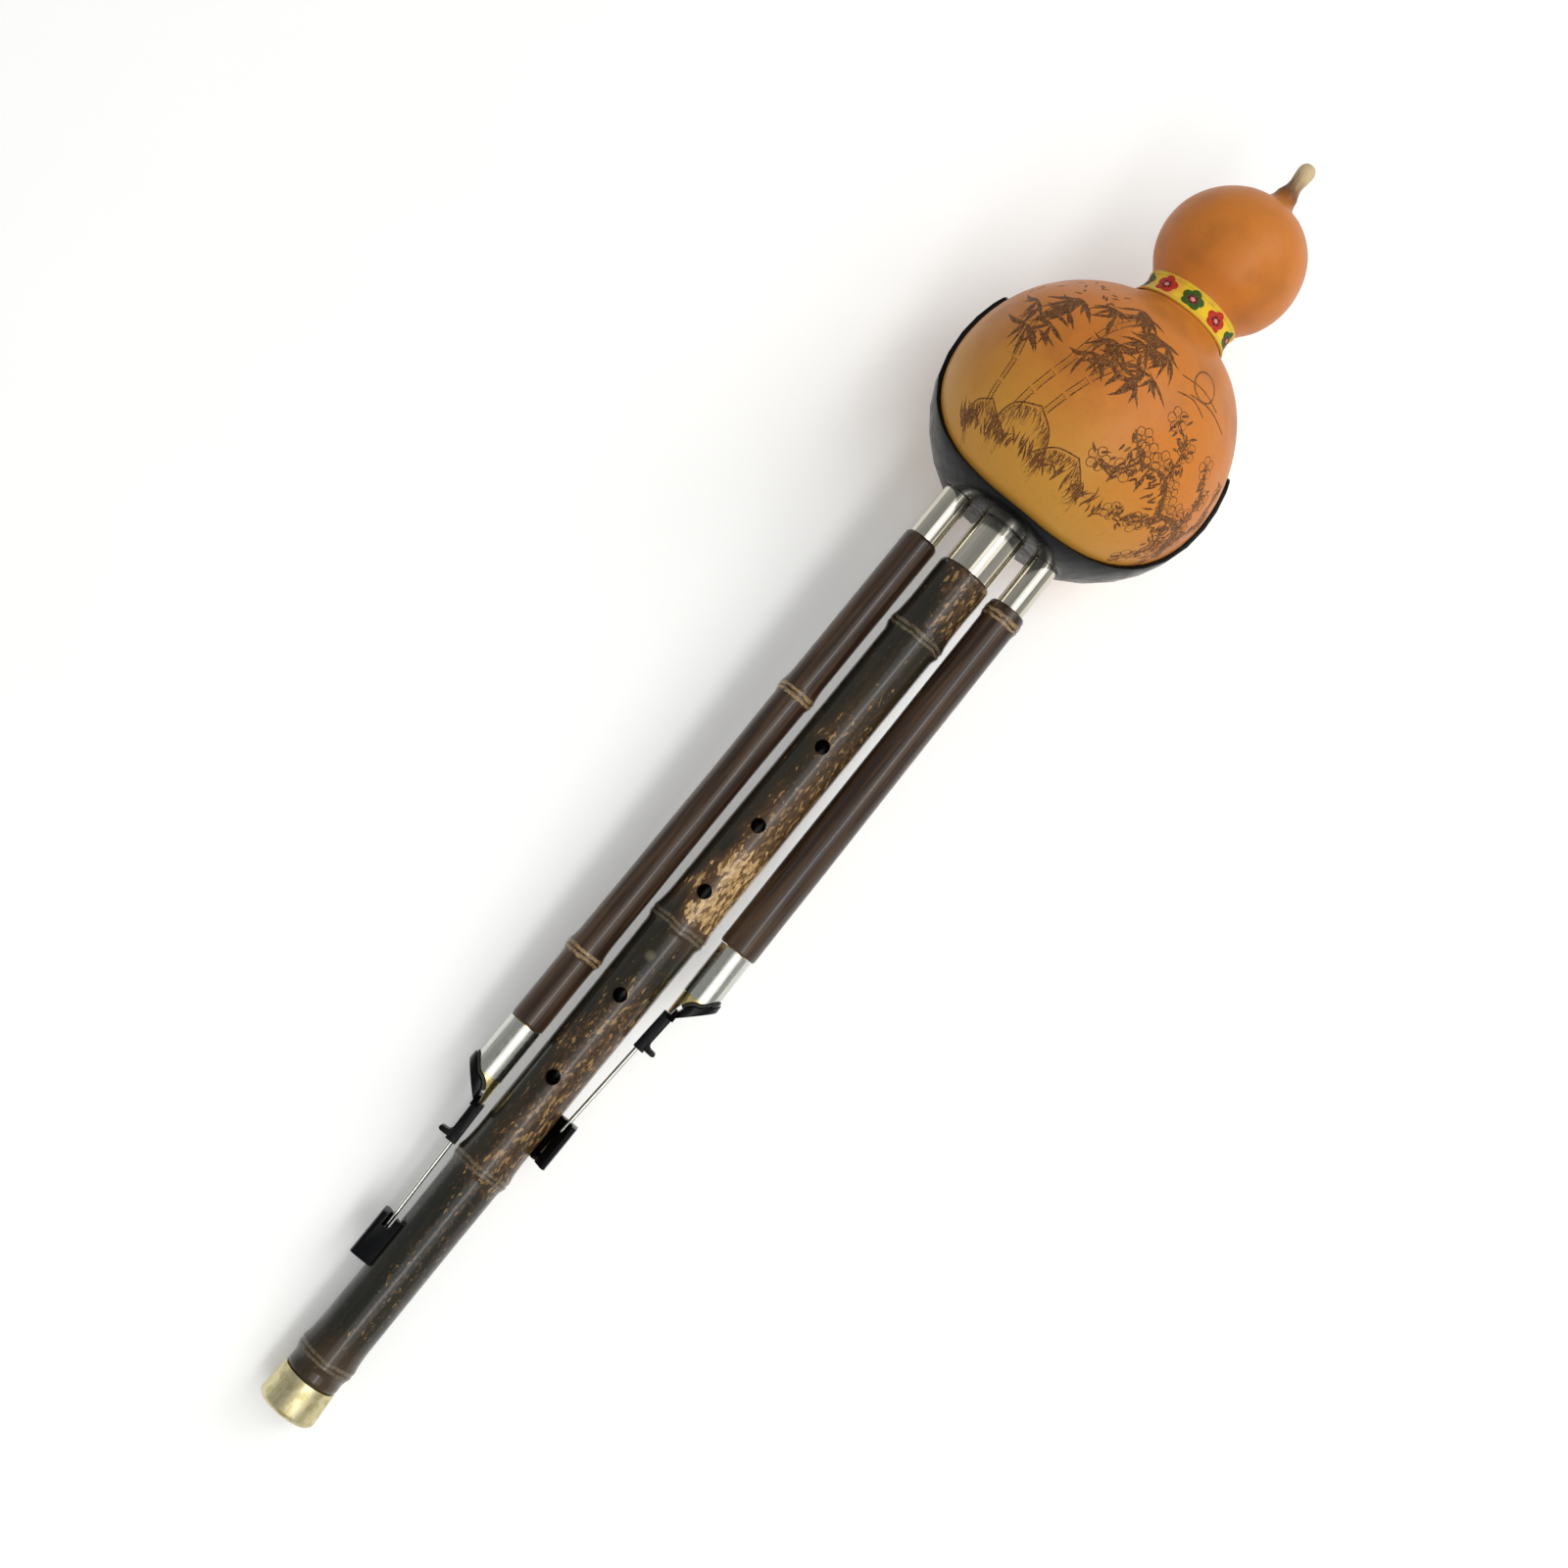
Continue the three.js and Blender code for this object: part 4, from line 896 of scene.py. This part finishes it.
def even_shading():
    """Geometry nodes that shade a CAD node smoothly up to its sharp edges."""
    name = "Even shading"
    if name in bpy.data.node_groups:
        return bpy.data.node_groups[name]
    tree = bpy.data.node_groups.new(name, "GeometryNodeTree")
    for way in ("INPUT", "OUTPUT"):
        tree.interface.new_socket("Geometry", in_out=way, socket_type="NodeSocketGeometry")
    layout = Layout(tree)
    given = layout.node("NodeGroupInput").outputs[0]
    plain = layout.node(
        "GeometryNodeRemoveAttribute", {"Geometry": given, "Name": "custom_normal"}
    ).outputs[0]
    faces = layout.node("GeometryNodeSetShadeSmooth", {"Geometry": plain}, domain="FACE").outputs[0]
    angle = layout.node("GeometryNodeInputMeshEdgeAngle").outputs[0]
    soft = layout.node(
        "FunctionNodeCompare", {0: angle, 1: EDGE_ANGLE}, data_type="FLOAT", operation="LESS_THAN"
    ).outputs[0]
    edges = layout.node(
        "GeometryNodeSetShadeSmooth", {"Geometry": faces, "Shade Smooth": soft}, domain="EDGE"
    ).outputs[0]
    layout.node("NodeGroupOutput", {0: edges})
    return tree


def dress(material, *nodes, bevel=0.0):
    """Gives CAD nodes a finish, even shading and eased edges."""
    for name in nodes:
        piece = frame["nodes"][name]
        for slot in piece.material_slots:
            slot.link = "OBJECT"
            slot.material = material
        weld = piece.modifiers.new("Weld", "WELD")
        weld.merge_threshold = WELD_REACH
        if bevel:
            eased = piece.modifiers.new("Eased edges", "BEVEL")
            eased.width, eased.segments = bevel, 2
            eased.limit_method, eased.angle_limit = "ANGLE", BEVEL_ANGLE
            eased.use_clamp_overlap = True
        piece.modifiers.new("Even shading", "NODES").node_group = even_shading()


# New pieces

def settle(piece, material, slot, body, *nodes):
    """A new piece gets its finish, rides on its body and stands for CAD nodes."""
    piece.data.materials.append(material)
    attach(piece, body)
    if nodes:
        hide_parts(*nodes)
    return piece


def bamboo_nodes(rings):
    """Heights of the nodes, found where the skin stands out."""
    below, above = NODE_RISE
    peaks = [
        ring.z for before, ring, after in zip(rings, rings[1:], rings[2:])
        if after.z - before.z < NODE_REACH and ring.y - before.y > below and ring.y - after.y > above
    ]
    return [sum(group) / len(group) for group in clusters(peaks, lambda peak: peak, NODE_GAP)]


def growth(amount, reach, seed):
    """The slow unevenness of a grown skin."""
    def swell(angle, height):
        spot = Vector((math.cos(angle), math.sin(angle), height / reach + seed))
        return amount * noise.noise(spot)
    return swell


def turned_surface(curve, around, to_height):
    """Finds spots on a turned skin from millimetres round it and up it."""
    heights = [ring.z for ring in curve]
    turn = UPRIGHT.to_3x3()

    def surface(a, b):
        height = to_height(b * MM)
        i = min(max(bisect_right(heights, height) - 1, 0), len(curve) - 2)
        step = curve[i + 1] - curve[i]
        ring = curve[i] + step * ((height - curve[i].z) / step.z)
        angle = a * MM / around
        out = Vector((math.sin(angle), -math.cos(angle), 0))
        place = Vector((ring.x, 0, ring.z)) + out * ring.y
        normal = out * step.z - Vector((0, 0, step.y))
        return UPRIGHT @ place, (turn @ normal).normalized()
    return surface


def hole_cutter(curve, holes, rim, sides=32):
    """One object of tapered plugs, one for each hole."""
    shape = bmesh.new()
    for height, radius, turn in holes:
        skin = min(curve, key=lambda ring: abs(ring.z - height)).y
        outline = [(radius, PLUG_FOOT), (radius, skin - rim), (radius + rim / 3, skin - rim / 3),
                   (radius + rim + PLUG_OVER, skin + PLUG_OVER)]
        mouth = UPRIGHT @ Matrix.Translation((0, 0, height)) @ Matrix.Rotation(turn, 4, "Z")
        turns = [FULL_TURN * k / sides for k in range(sides)]
        rings = [
            [shape.verts.new(mouth @ Vector((reach * math.cos(a), -out, reach * math.sin(a))))
             for a in turns] for reach, out in outline
        ]
        for low, high in zip(rings, rings[1:]):
            for k in range(sides):
                m = (k + 1) % sides
                shape.faces.new((low[k], low[m], high[m], high[k]))
        shape.faces.new(rings[0][::-1])
        shape.faces.new(rings[-1])
    bmesh.ops.recalc_face_normals(shape, faces=shape.faces)
    mesh = bpy.data.meshes.new("hole_cutter")
    shape.to_mesh(mesh)
    shape.free()
    return placed("hole_cutter", mesh)


# The burnt picture: canes by rocks, a blossoming bough and a moon

def bend(*spots):
    return smooth_through([Vector(spot) for spot in spots], 1.0)


def draw_cane(lines, leaves, draw, spots, width):
    path = bend(*spots)
    for start in range(0, len(path) - CANE_JOINT, CANE_JOINT):
        part = path[start:start + CANE_JOINT]
        along = (part[-1] - part[0]).normalized()
        side = Vector((-along.y, along.x)) * width / 2
        for sign in (-1, 1):
            lines.even([p + side * sign * (1.15 if p in (part[0], part[-1]) else 1) for p in part], 0.75)
        lines.even([part[-1] - side * 1.5, part[-1] + side * 1.5], 1.0)
        for k in range(1, CANE_JOINT):
            lines.even([part[k] - side * 0.8, part[k] + side * 0.3 - along * 0.7], 0.42)
        if start > CANE_JOINT:
            for way in draw.sample((-1, 1), draw.randint(1, 2)):
                tip = part[-1] + along * draw.uniform(3, 7) + side.normalized() * way * draw.uniform(3, 8)
                lines.even(bend(part[-1], (part[-1] + tip) / 2 + along, tip), 0.35)
                draw_spray(leaves, draw, tip, draw.randint(6, 8))
                draw_spray(leaves, draw, (part[-1] + tip) / 2, 3)
    draw_spray(leaves, draw, path[-1], 8)


def draw_spray(leaves, draw, spot, count):
    for _ in range(count):
        angle = math.radians(draw.uniform(-175, -5))
        leaves.leaf(spot, angle, draw.uniform(6, 12), draw.uniform(1.8, 2.9), draw.uniform(-0.4, 0.4))


def draw_blossom(lines, draw, spot, size):
    start = draw.uniform(0, FULL_TURN)
    for k in range(LOBES):
        angle = start + FULL_TURN * k / LOBES
        petal = Vector((math.cos(angle), math.sin(angle)))
        lines.ring(spot + petal * size * 0.62, size * 0.42, 0.6, 9)
        lines.even([spot + petal * 0.3, spot + petal * size * 0.7], 0.5)


def draw_rocks(lines, leaves, draw):
    for rock in ROCKS:
        outline = bend(*rock)
        lines.even(outline, 1.0)
        for _ in range(ROCK_HATCHES):
            top = draw.choice(outline[2:-2])
            foot = top + Vector((draw.uniform(-1.5, 2.5), -draw.uniform(2, 10)))
            lines.even([top + Vector((0, -0.8)), (top + foot) / 2 + Vector((0.5, 0)), foot], 0.55)
    for _ in range(GRASS_BLADES):
        spot = (draw.uniform(-52, 26), draw.uniform(-34, -30))
        angle = math.radians(draw.uniform(60, 120))
        leaves.leaf(spot, angle, draw.uniform(3, 7.5), 1.1, draw.uniform(-0.6, 0.6))


def draw_bough(lines, leaves, draw):
    bough = bend(*BOUGH)
    lines.line(bough, [4.4 - 3.4 * i / len(bough) for i in range(len(bough))])
    for twig in TWIGS:
        path = bend(*twig)
        lines.line(path, [1.9 - 1.2 * i / len(path) for i in range(len(path))])
        for spot in (path[-1], path[len(path) // 2] + Vector((1.5, 1.2))):
            draw_blossom(lines, draw, spot, draw.uniform(3.4, 4.6))
        for spot in path[2::2]:
            for _ in range(3):
                bud = spot + Vector((draw.uniform(-2.5, 2.5), draw.uniform(-2.5, 2.5)))
                leaves.leaf(bud, draw.uniform(0, FULL_TURN), draw.uniform(2.2, 4.2), 1.6)
    for spot in bough[6::6]:
        draw_blossom(lines, draw, spot + Vector((0, 3.2)), draw.uniform(3.2, 4.4))
    for spot in bough[::2]:
        for _ in range(3):
            leaf = spot + Vector((draw.uniform(-3.5, 3.5), draw.uniform(-5, 1)))
            leaves.leaf(leaf, math.radians(draw.uniform(-150, -30)), draw.uniform(2.5, 5), 1.5)


def draw_picture(lines, leaves):
    draw = random.Random(PICTURE_SEED)
    draw_rocks(lines, leaves, draw)
    for spots, width in CANES:
        draw_cane(lines, leaves, draw, spots, width)
    draw_bough(lines, leaves, draw)
    lines.ring(MOON, 6.0, 1.1, 30)
    for y, left, right in MISTS:
        lines.even(bend((left, y), ((left + right) / 2, y + 2.2), (right, y + 0.4)), 1.0)
    for _ in range(LOOSE_LEAVES):
        spot = (draw.uniform(-62, -24), draw.uniform(22, 40))
        leaves.leaf(spot, draw.uniform(0, FULL_TURN), draw.uniform(2.5, 4), 1.5)


# Stage

def add_light(name, watts, width, height, place, way, lengthwise):
    """An area light whose face looks back along a direction."""
    light = bpy.data.lights.new(name, "AREA")
    light.shape, light.size, light.size_y, light.energy = "RECTANGLE", width, height, watts
    side = lengthwise.cross(way).normalized()
    placed(name, light).matrix_world = stand(place, side, way.cross(side), way)


def studio_floor(look):
    finish = Finish("Studio floor", {"Roughness": 0.9, "Specular IOR Level": 0.1})
    grain = finish.mottle(0.02, 3.0)
    pale = look.floor
    finish.feed("Base Color", finish.stain(pale, dimmed(pale, 0.97), grain, 0.3, 0.7, end=0.2))
    ray = finish.node("ShaderNodeLightPath").outputs
    seen = finish.math("MAXIMUM", ray["Is Camera Ray"], ray["Is Glossy Ray"])
    seen = finish.math("MAXIMUM", seen, ray["Is Transmission Ray"])
    finish.feed("Emission Color", finish.mix(seen, (0.0, 0.0, 0.0), pale))
    finish.shader.inputs["Emission Strength"].default_value = FLOOR_GLOW
    return finish.material


def studio_world(look):
    """Light from all round, a little darker overhead."""
    world = bpy.data.worlds.new("studio")
    world.use_nodes = True
    layout = Layout(world.node_tree)
    way = layout.node("ShaderNodeTexCoord").outputs["Generated"]
    height = layout.node("ShaderNodeSeparateXYZ", {0: way}).outputs[2]
    sky = layout.levels(height, SKY_LEVELS)
    background = world.node_tree.nodes["Background"]
    layout.tree.links.new(sky, background.inputs["Color"])
    background.inputs["Strength"].default_value = look.world * SKY_GAIN
    return world


# Operators

class FLUTE_OT_gourd(bpy.types.Operator):
    """Build the varnished gourd with its burnt picture, and finish the stalk"""
    bl_idname = "flute.gourd"
    bl_label = "Gourd"

    def execute(self, context):
        look = context.scene.flute_gourd
        curve = smooth_through(outer_rings("gourd_shell", UPRIGHT), GOURD_STEP)
        curve[-1] = curve[-1] + Vector((0, 0, look.seam))
        bore = top_bore("gourd_shell", UPRIGHT)
        inside = [
            Vector((ring.x, max(ring.y, bore), ring.z)) for ring in offset_rings(curve, look.wall)[::-3]
        ]
        gourd = loft("gourd_body", curve + inside, look.sides, UPRIGHT)
        settle(gourd, gourd_skin(look), "varnished_gourd", "gourd_base", "gourd_shell")
        widest = max(curve, key=lambda ring: ring.y)
        surface = turned_surface(
            curve, widest.y, lambda b: widest.z + widest.y * math.sin(b / widest.y)
        )
        lines, leaves = Strokes(surface, look.proud), Strokes(surface, look.proud)
        draw_picture(lines, leaves)
        line, wash = look.burnt, look.burnt_wash
        for strokes, name, finish in (
            (lines, "burnt_lines", burnt_wood("Burnt line", line, wash)),
            (leaves, "burnt_leaves", burnt_wood("Burnt wash", wash, line)),
        ):
            settle(strokes.piece(name), finish, "varnished_gourd", "gourd_base")
        dress(dry_stalk(look), "mouthpiece_stem")
        return {"FINISHED"}


class FLUTE_OT_ribbon(bpy.types.Operator):
    """Build the woven ribbon round the waist, with its embroidered flowers"""
    bl_idname = "flute.ribbon"
    bl_label = "Ribbon"

    def execute(self, context):
        look = context.scene.flute_ribbon
        curve = smooth_through(outer_rings("neck_ribbon", UPRIGHT), RIBBON_STEP)
        inside = offset_rings(curve, RIBBON_THICKNESS)[::-2]
        ribbon = loft("woven_ribbon", curve + inside, RIBBON_SIDES, UPRIGHT)
        settle(ribbon, woven_ribbon(look, curve), "ribbon", "gourd_base", "neck_ribbon")
        waist = min(ring.y for ring in curve)
        middle = (curve[0].z + curve[-1].z) / 2
        surface = turned_surface(curve, waist, lambda b: middle + b)
        green, rings, hearts = (Strokes(surface, look.thread * rise) for rise in LAYER_RISES)
        red = Strokes(surface, look.thread)
        pitch = FULL_TURN * waist / look.flowers / MM
        reach = look.petal / MM
        for k in range(look.flowers):
            spot = Vector((look.first * waist / MM + pitch * k, 0))
            layers = (red if k % 2 else green, rings, hearts)
            for strokes, (share, notch, turn) in zip(layers, FLOWER_LAYERS):
                strokes.rosette(spot, reach * share, FLOWER_HEIGHT, notch, turn)
        woven = [
            settle(strokes.piece(name), embroidery(thread, tone), "ribbon", "gourd_base")
            for strokes, name, thread, tone in (
                (green, "green_flowers", "green thread", look.green),
                (red, "red_flowers", "red thread", look.red),
                (rings, "flower_rings", "wine thread", look.wine),
                (hearts, "flower_hearts", "pink thread", look.heart),
            )
        ]
        return {"FINISHED"}


class FLUTE_OT_main_pipe(bpy.types.Operator):
    """Build the mottled main pipe with its holes, and finish the foot ring"""
    bl_idname = "flute.main_pipe"
    bl_label = "Main pipe"

    def execute(self, context):
        look, metals = context.scene.flute_bamboo, context.scene.flute_metal
        rings = outer_rings("main_pipe", UPRIGHT)
        curve = smooth_through(rings, BAMBOO_STEP)
        pipe = bored("main_bamboo", curve, top_bore("main_pipe", UPRIGHT), MAIN_SIDES, UPRIGHT,
                     growth(*MAIN_GROWTH))
        top = rings[-1].z
        holes = [(share * top, look.hole_radius, look.hole_turn) for share in FINGER_HOLE_SHARES]
        holes += [(THUMB_HOLE_SHARE * top, look.hole_radius, math.pi)]
        holes += [(share * top, look.vent_radius, math.pi) for share in VENT_SHARES]
        cut_out(pipe, hole_cutter(curve, holes, look.hole_rim))
        settle(pipe, mottled_bamboo(look, rings, bamboo_nodes(rings)), "mottled_bamboo", "main_pipe",
               "main_pipe")
        dress(metal("Foot plate", metals.champagne, 0.34, 0.5, cloud=metals.tarnish), "foot_ring",
              bevel=metals.bevel)
        return {"FINISHED"}


class FLUTE_OT_drones(bpy.types.Operator):
    """Build the bamboo of the drones, and finish their metal mouths and rods"""
    bl_idname = "flute.drones"
    bl_label = "Drones"

    def execute(self, context):
        look, metals = context.scene.flute_bamboo, context.scene.flute_metal
        sleeve = metal("Bright sleeve", metals.steel, 0.16, 0.3)
        liner = metal("Liner brass", metals.brass, 0.22, 0.4)
        rod = metal("Rod steel", metals.steel, 0.2, 0.32)
        for seed, name in enumerate(("left", "right")):
            upright = upright_frame(f"{name}_tuning")
            node = f"{name}_drone_pipe"
            rings = outer_rings(node, upright)
            amount, reach, first_seed = DRONE_GROWTH
            pipe = bored(f"{name}_drone_bamboo", smooth_through(rings, BAMBOO_STEP),
                         top_bore(node, upright), DRONE_SIDES, upright,
                         growth(amount, reach, first_seed + seed))
            settle(pipe, dark_bamboo(f"Dark bamboo {name}", look, bamboo_nodes(rings)),
                   "dark_bamboo", f"{name}_drone", node)
            dress(sleeve, f"{name}_mouth_sleeve")
            dress(liner, f"{name}_mouth_liner")
            dress(rod, f"{name}_shutter_rod")
        return {"FINISHED"}


class FLUTE_OT_necks(bpy.types.Operator):
    """Finish the neck tubes, their corks, seals and reeds"""
    bl_idname = "flute.necks"
    bl_label = "Neck tubes and reeds"

    def execute(self, context):
        metals = context.scene.flute_metal
        chrome = metal("Chrome plate", metals.chrome, 0.06, 0.16)
        brass = metal("Reed brass", metals.brass, 0.25, 0.45)
        cork, seal = sheet_cork(metals.cork), moulding("Seal rubber", metals.rubber, 0.6, 0.85, 0.03)
        for name in ("main", "left", "right"):
            dress(chrome, f"{name}_neck_tube")
            dress(brass, f"{name}_reed", f"{name}_reed_plug")
            dress(cork, f"{name}_tuning_cork")
            dress(seal, f"{name}_tube_seal")
        return {"FINISHED"}


class FLUTE_OT_mouldings(bpy.types.Operator):
    """Finish the base cap, the shutters with their pads, and the rod guides"""
    bl_idname = "flute.mouldings"
    bl_label = "Cap and shutters"

    def execute(self, context):
        metals = context.scene.flute_metal
        black = moulding("Black moulding", metals.black, 0.22, 0.36, 0.012, shine=0.14)
        pad = moulding("Pad rubber", metals.rubber, 0.6, 0.8, 0.05)
        dress(black, "base_cap", bevel=metals.bevel * 1.5)
        dress(black, "left_shutter", "right_shutter", bevel=metals.bevel)
        dress(black, "left_rod_guide", "right_rod_guide", bevel=metals.bevel)
        dress(pad, "left_shutter_pad", "right_shutter_pad", bevel=metals.bevel / 2)
        return {"FINISHED"}


class FLUTE_OT_stage(bpy.types.Operator):
    """Set the floor, the lights and the camera at the photograph's angle"""
    bl_idname = "flute.stage"
    bl_label = "Stage"

    def execute(self, context):
        look = context.scene.flute_stage
        corners = [(-1, -1), (1, -1), (1, 1), (-1, 1)]
        floor = shaded("floor", [(x * FLOOR_HALF, y * FLOOR_HALF, 0) for x, y in corners], [(0, 1, 2, 3)])
        floor.location.z = -FLOOR_DROP
        floor.data.materials.append(studio_floor(look))

        up, front = UPRIGHT.col[2].to_3d(), -BACK
        towards = front * math.cos(RECEDES) - up * math.sin(RECEDES)
        along = up * math.cos(RECEDES) + front * math.sin(RECEDES)
        right = ACROSS * math.cos(PIPE_TURN) + along * math.sin(PIPE_TURN)
        above = along * math.cos(PIPE_TURN) - ACROSS * math.sin(PIPE_TURN)
        aim = UPRIGHT @ Vector(AIM)

        lens = bpy.data.cameras.new("camera")
        lens.lens, lens.sensor_width = look.lens, SENSOR_WIDTH
        camera = placed("camera", lens)
        camera.matrix_world = stand(aim + towards * look.distance, right, above, towards)
        context.scene.camera = camera

        to_side, to_above = KEY_SIDE
        side = right * to_side + above * to_above
        way = towards * math.cos(KEY_SLANT) + side * math.sin(KEY_SLANT)
        add_light("softbox", look.key, KEY_SIZE, KEY_SIZE, aim + way * KEY_REACH, way, above)
        way = towards * math.cos(STRIP_SLANT) + ACROSS * math.sin(STRIP_SLANT)
        for name, watts, width, reach in (
            ("strip", look.strip, STRIP_WIDTH, STRIP_REACH), ("card", look.card, CARD_WIDTH, CARD_REACH),
        ):
            add_light(name, watts, width, STRIP_LENGTH, aim + way * reach, way, along)

        context.scene.world = studio_world(look)
        context.scene.view_settings.view_transform = "Standard"
        return {"FINISHED"}


class FLUTE_PT_pieces(bpy.types.Panel):
    """Lists the flute's pieces"""
    bl_idname = "FLUTE_PT_pieces"
    bl_label = "Gourd flute"
    bl_space_type = "VIEW_3D"
    bl_region_type = "UI"
    bl_category = "Gourd flute"

    def draw(self, context):
        for operator in OPERATORS:
            self.layout.operator(operator.bl_idname)


SETTINGS = {
    "flute_gourd": GourdSettings,
    "flute_ribbon": RibbonSettings,
    "flute_bamboo": BambooSettings,
    "flute_metal": MetalSettings,
    "flute_stage": StageSettings,
}
OPERATORS = (
    FLUTE_OT_stage, FLUTE_OT_gourd, FLUTE_OT_ribbon, FLUTE_OT_main_pipe, FLUTE_OT_drones,
    FLUTE_OT_necks, FLUTE_OT_mouldings,
)
CLASSES = (*SETTINGS.values(), *OPERATORS, FLUTE_PT_pieces)


def register():
    for cls in CLASSES:
        bpy.utils.register_class(cls)
    for name, group in SETTINGS.items():
        setattr(bpy.types.Scene, name, bpy.props.PointerProperty(type=group))


def unregister():
    for name in SETTINGS:
        delattr(bpy.types.Scene, name)
    for cls in reversed(CLASSES):
        bpy.utils.unregister_class(cls)


def main():
    register()
    for operator in OPERATORS:
        group, name = operator.bl_idname.split(".")
        getattr(getattr(bpy.ops, group), name)()
    bpy.context.view_layer.update()


if __name__ == "__main__":
    main()
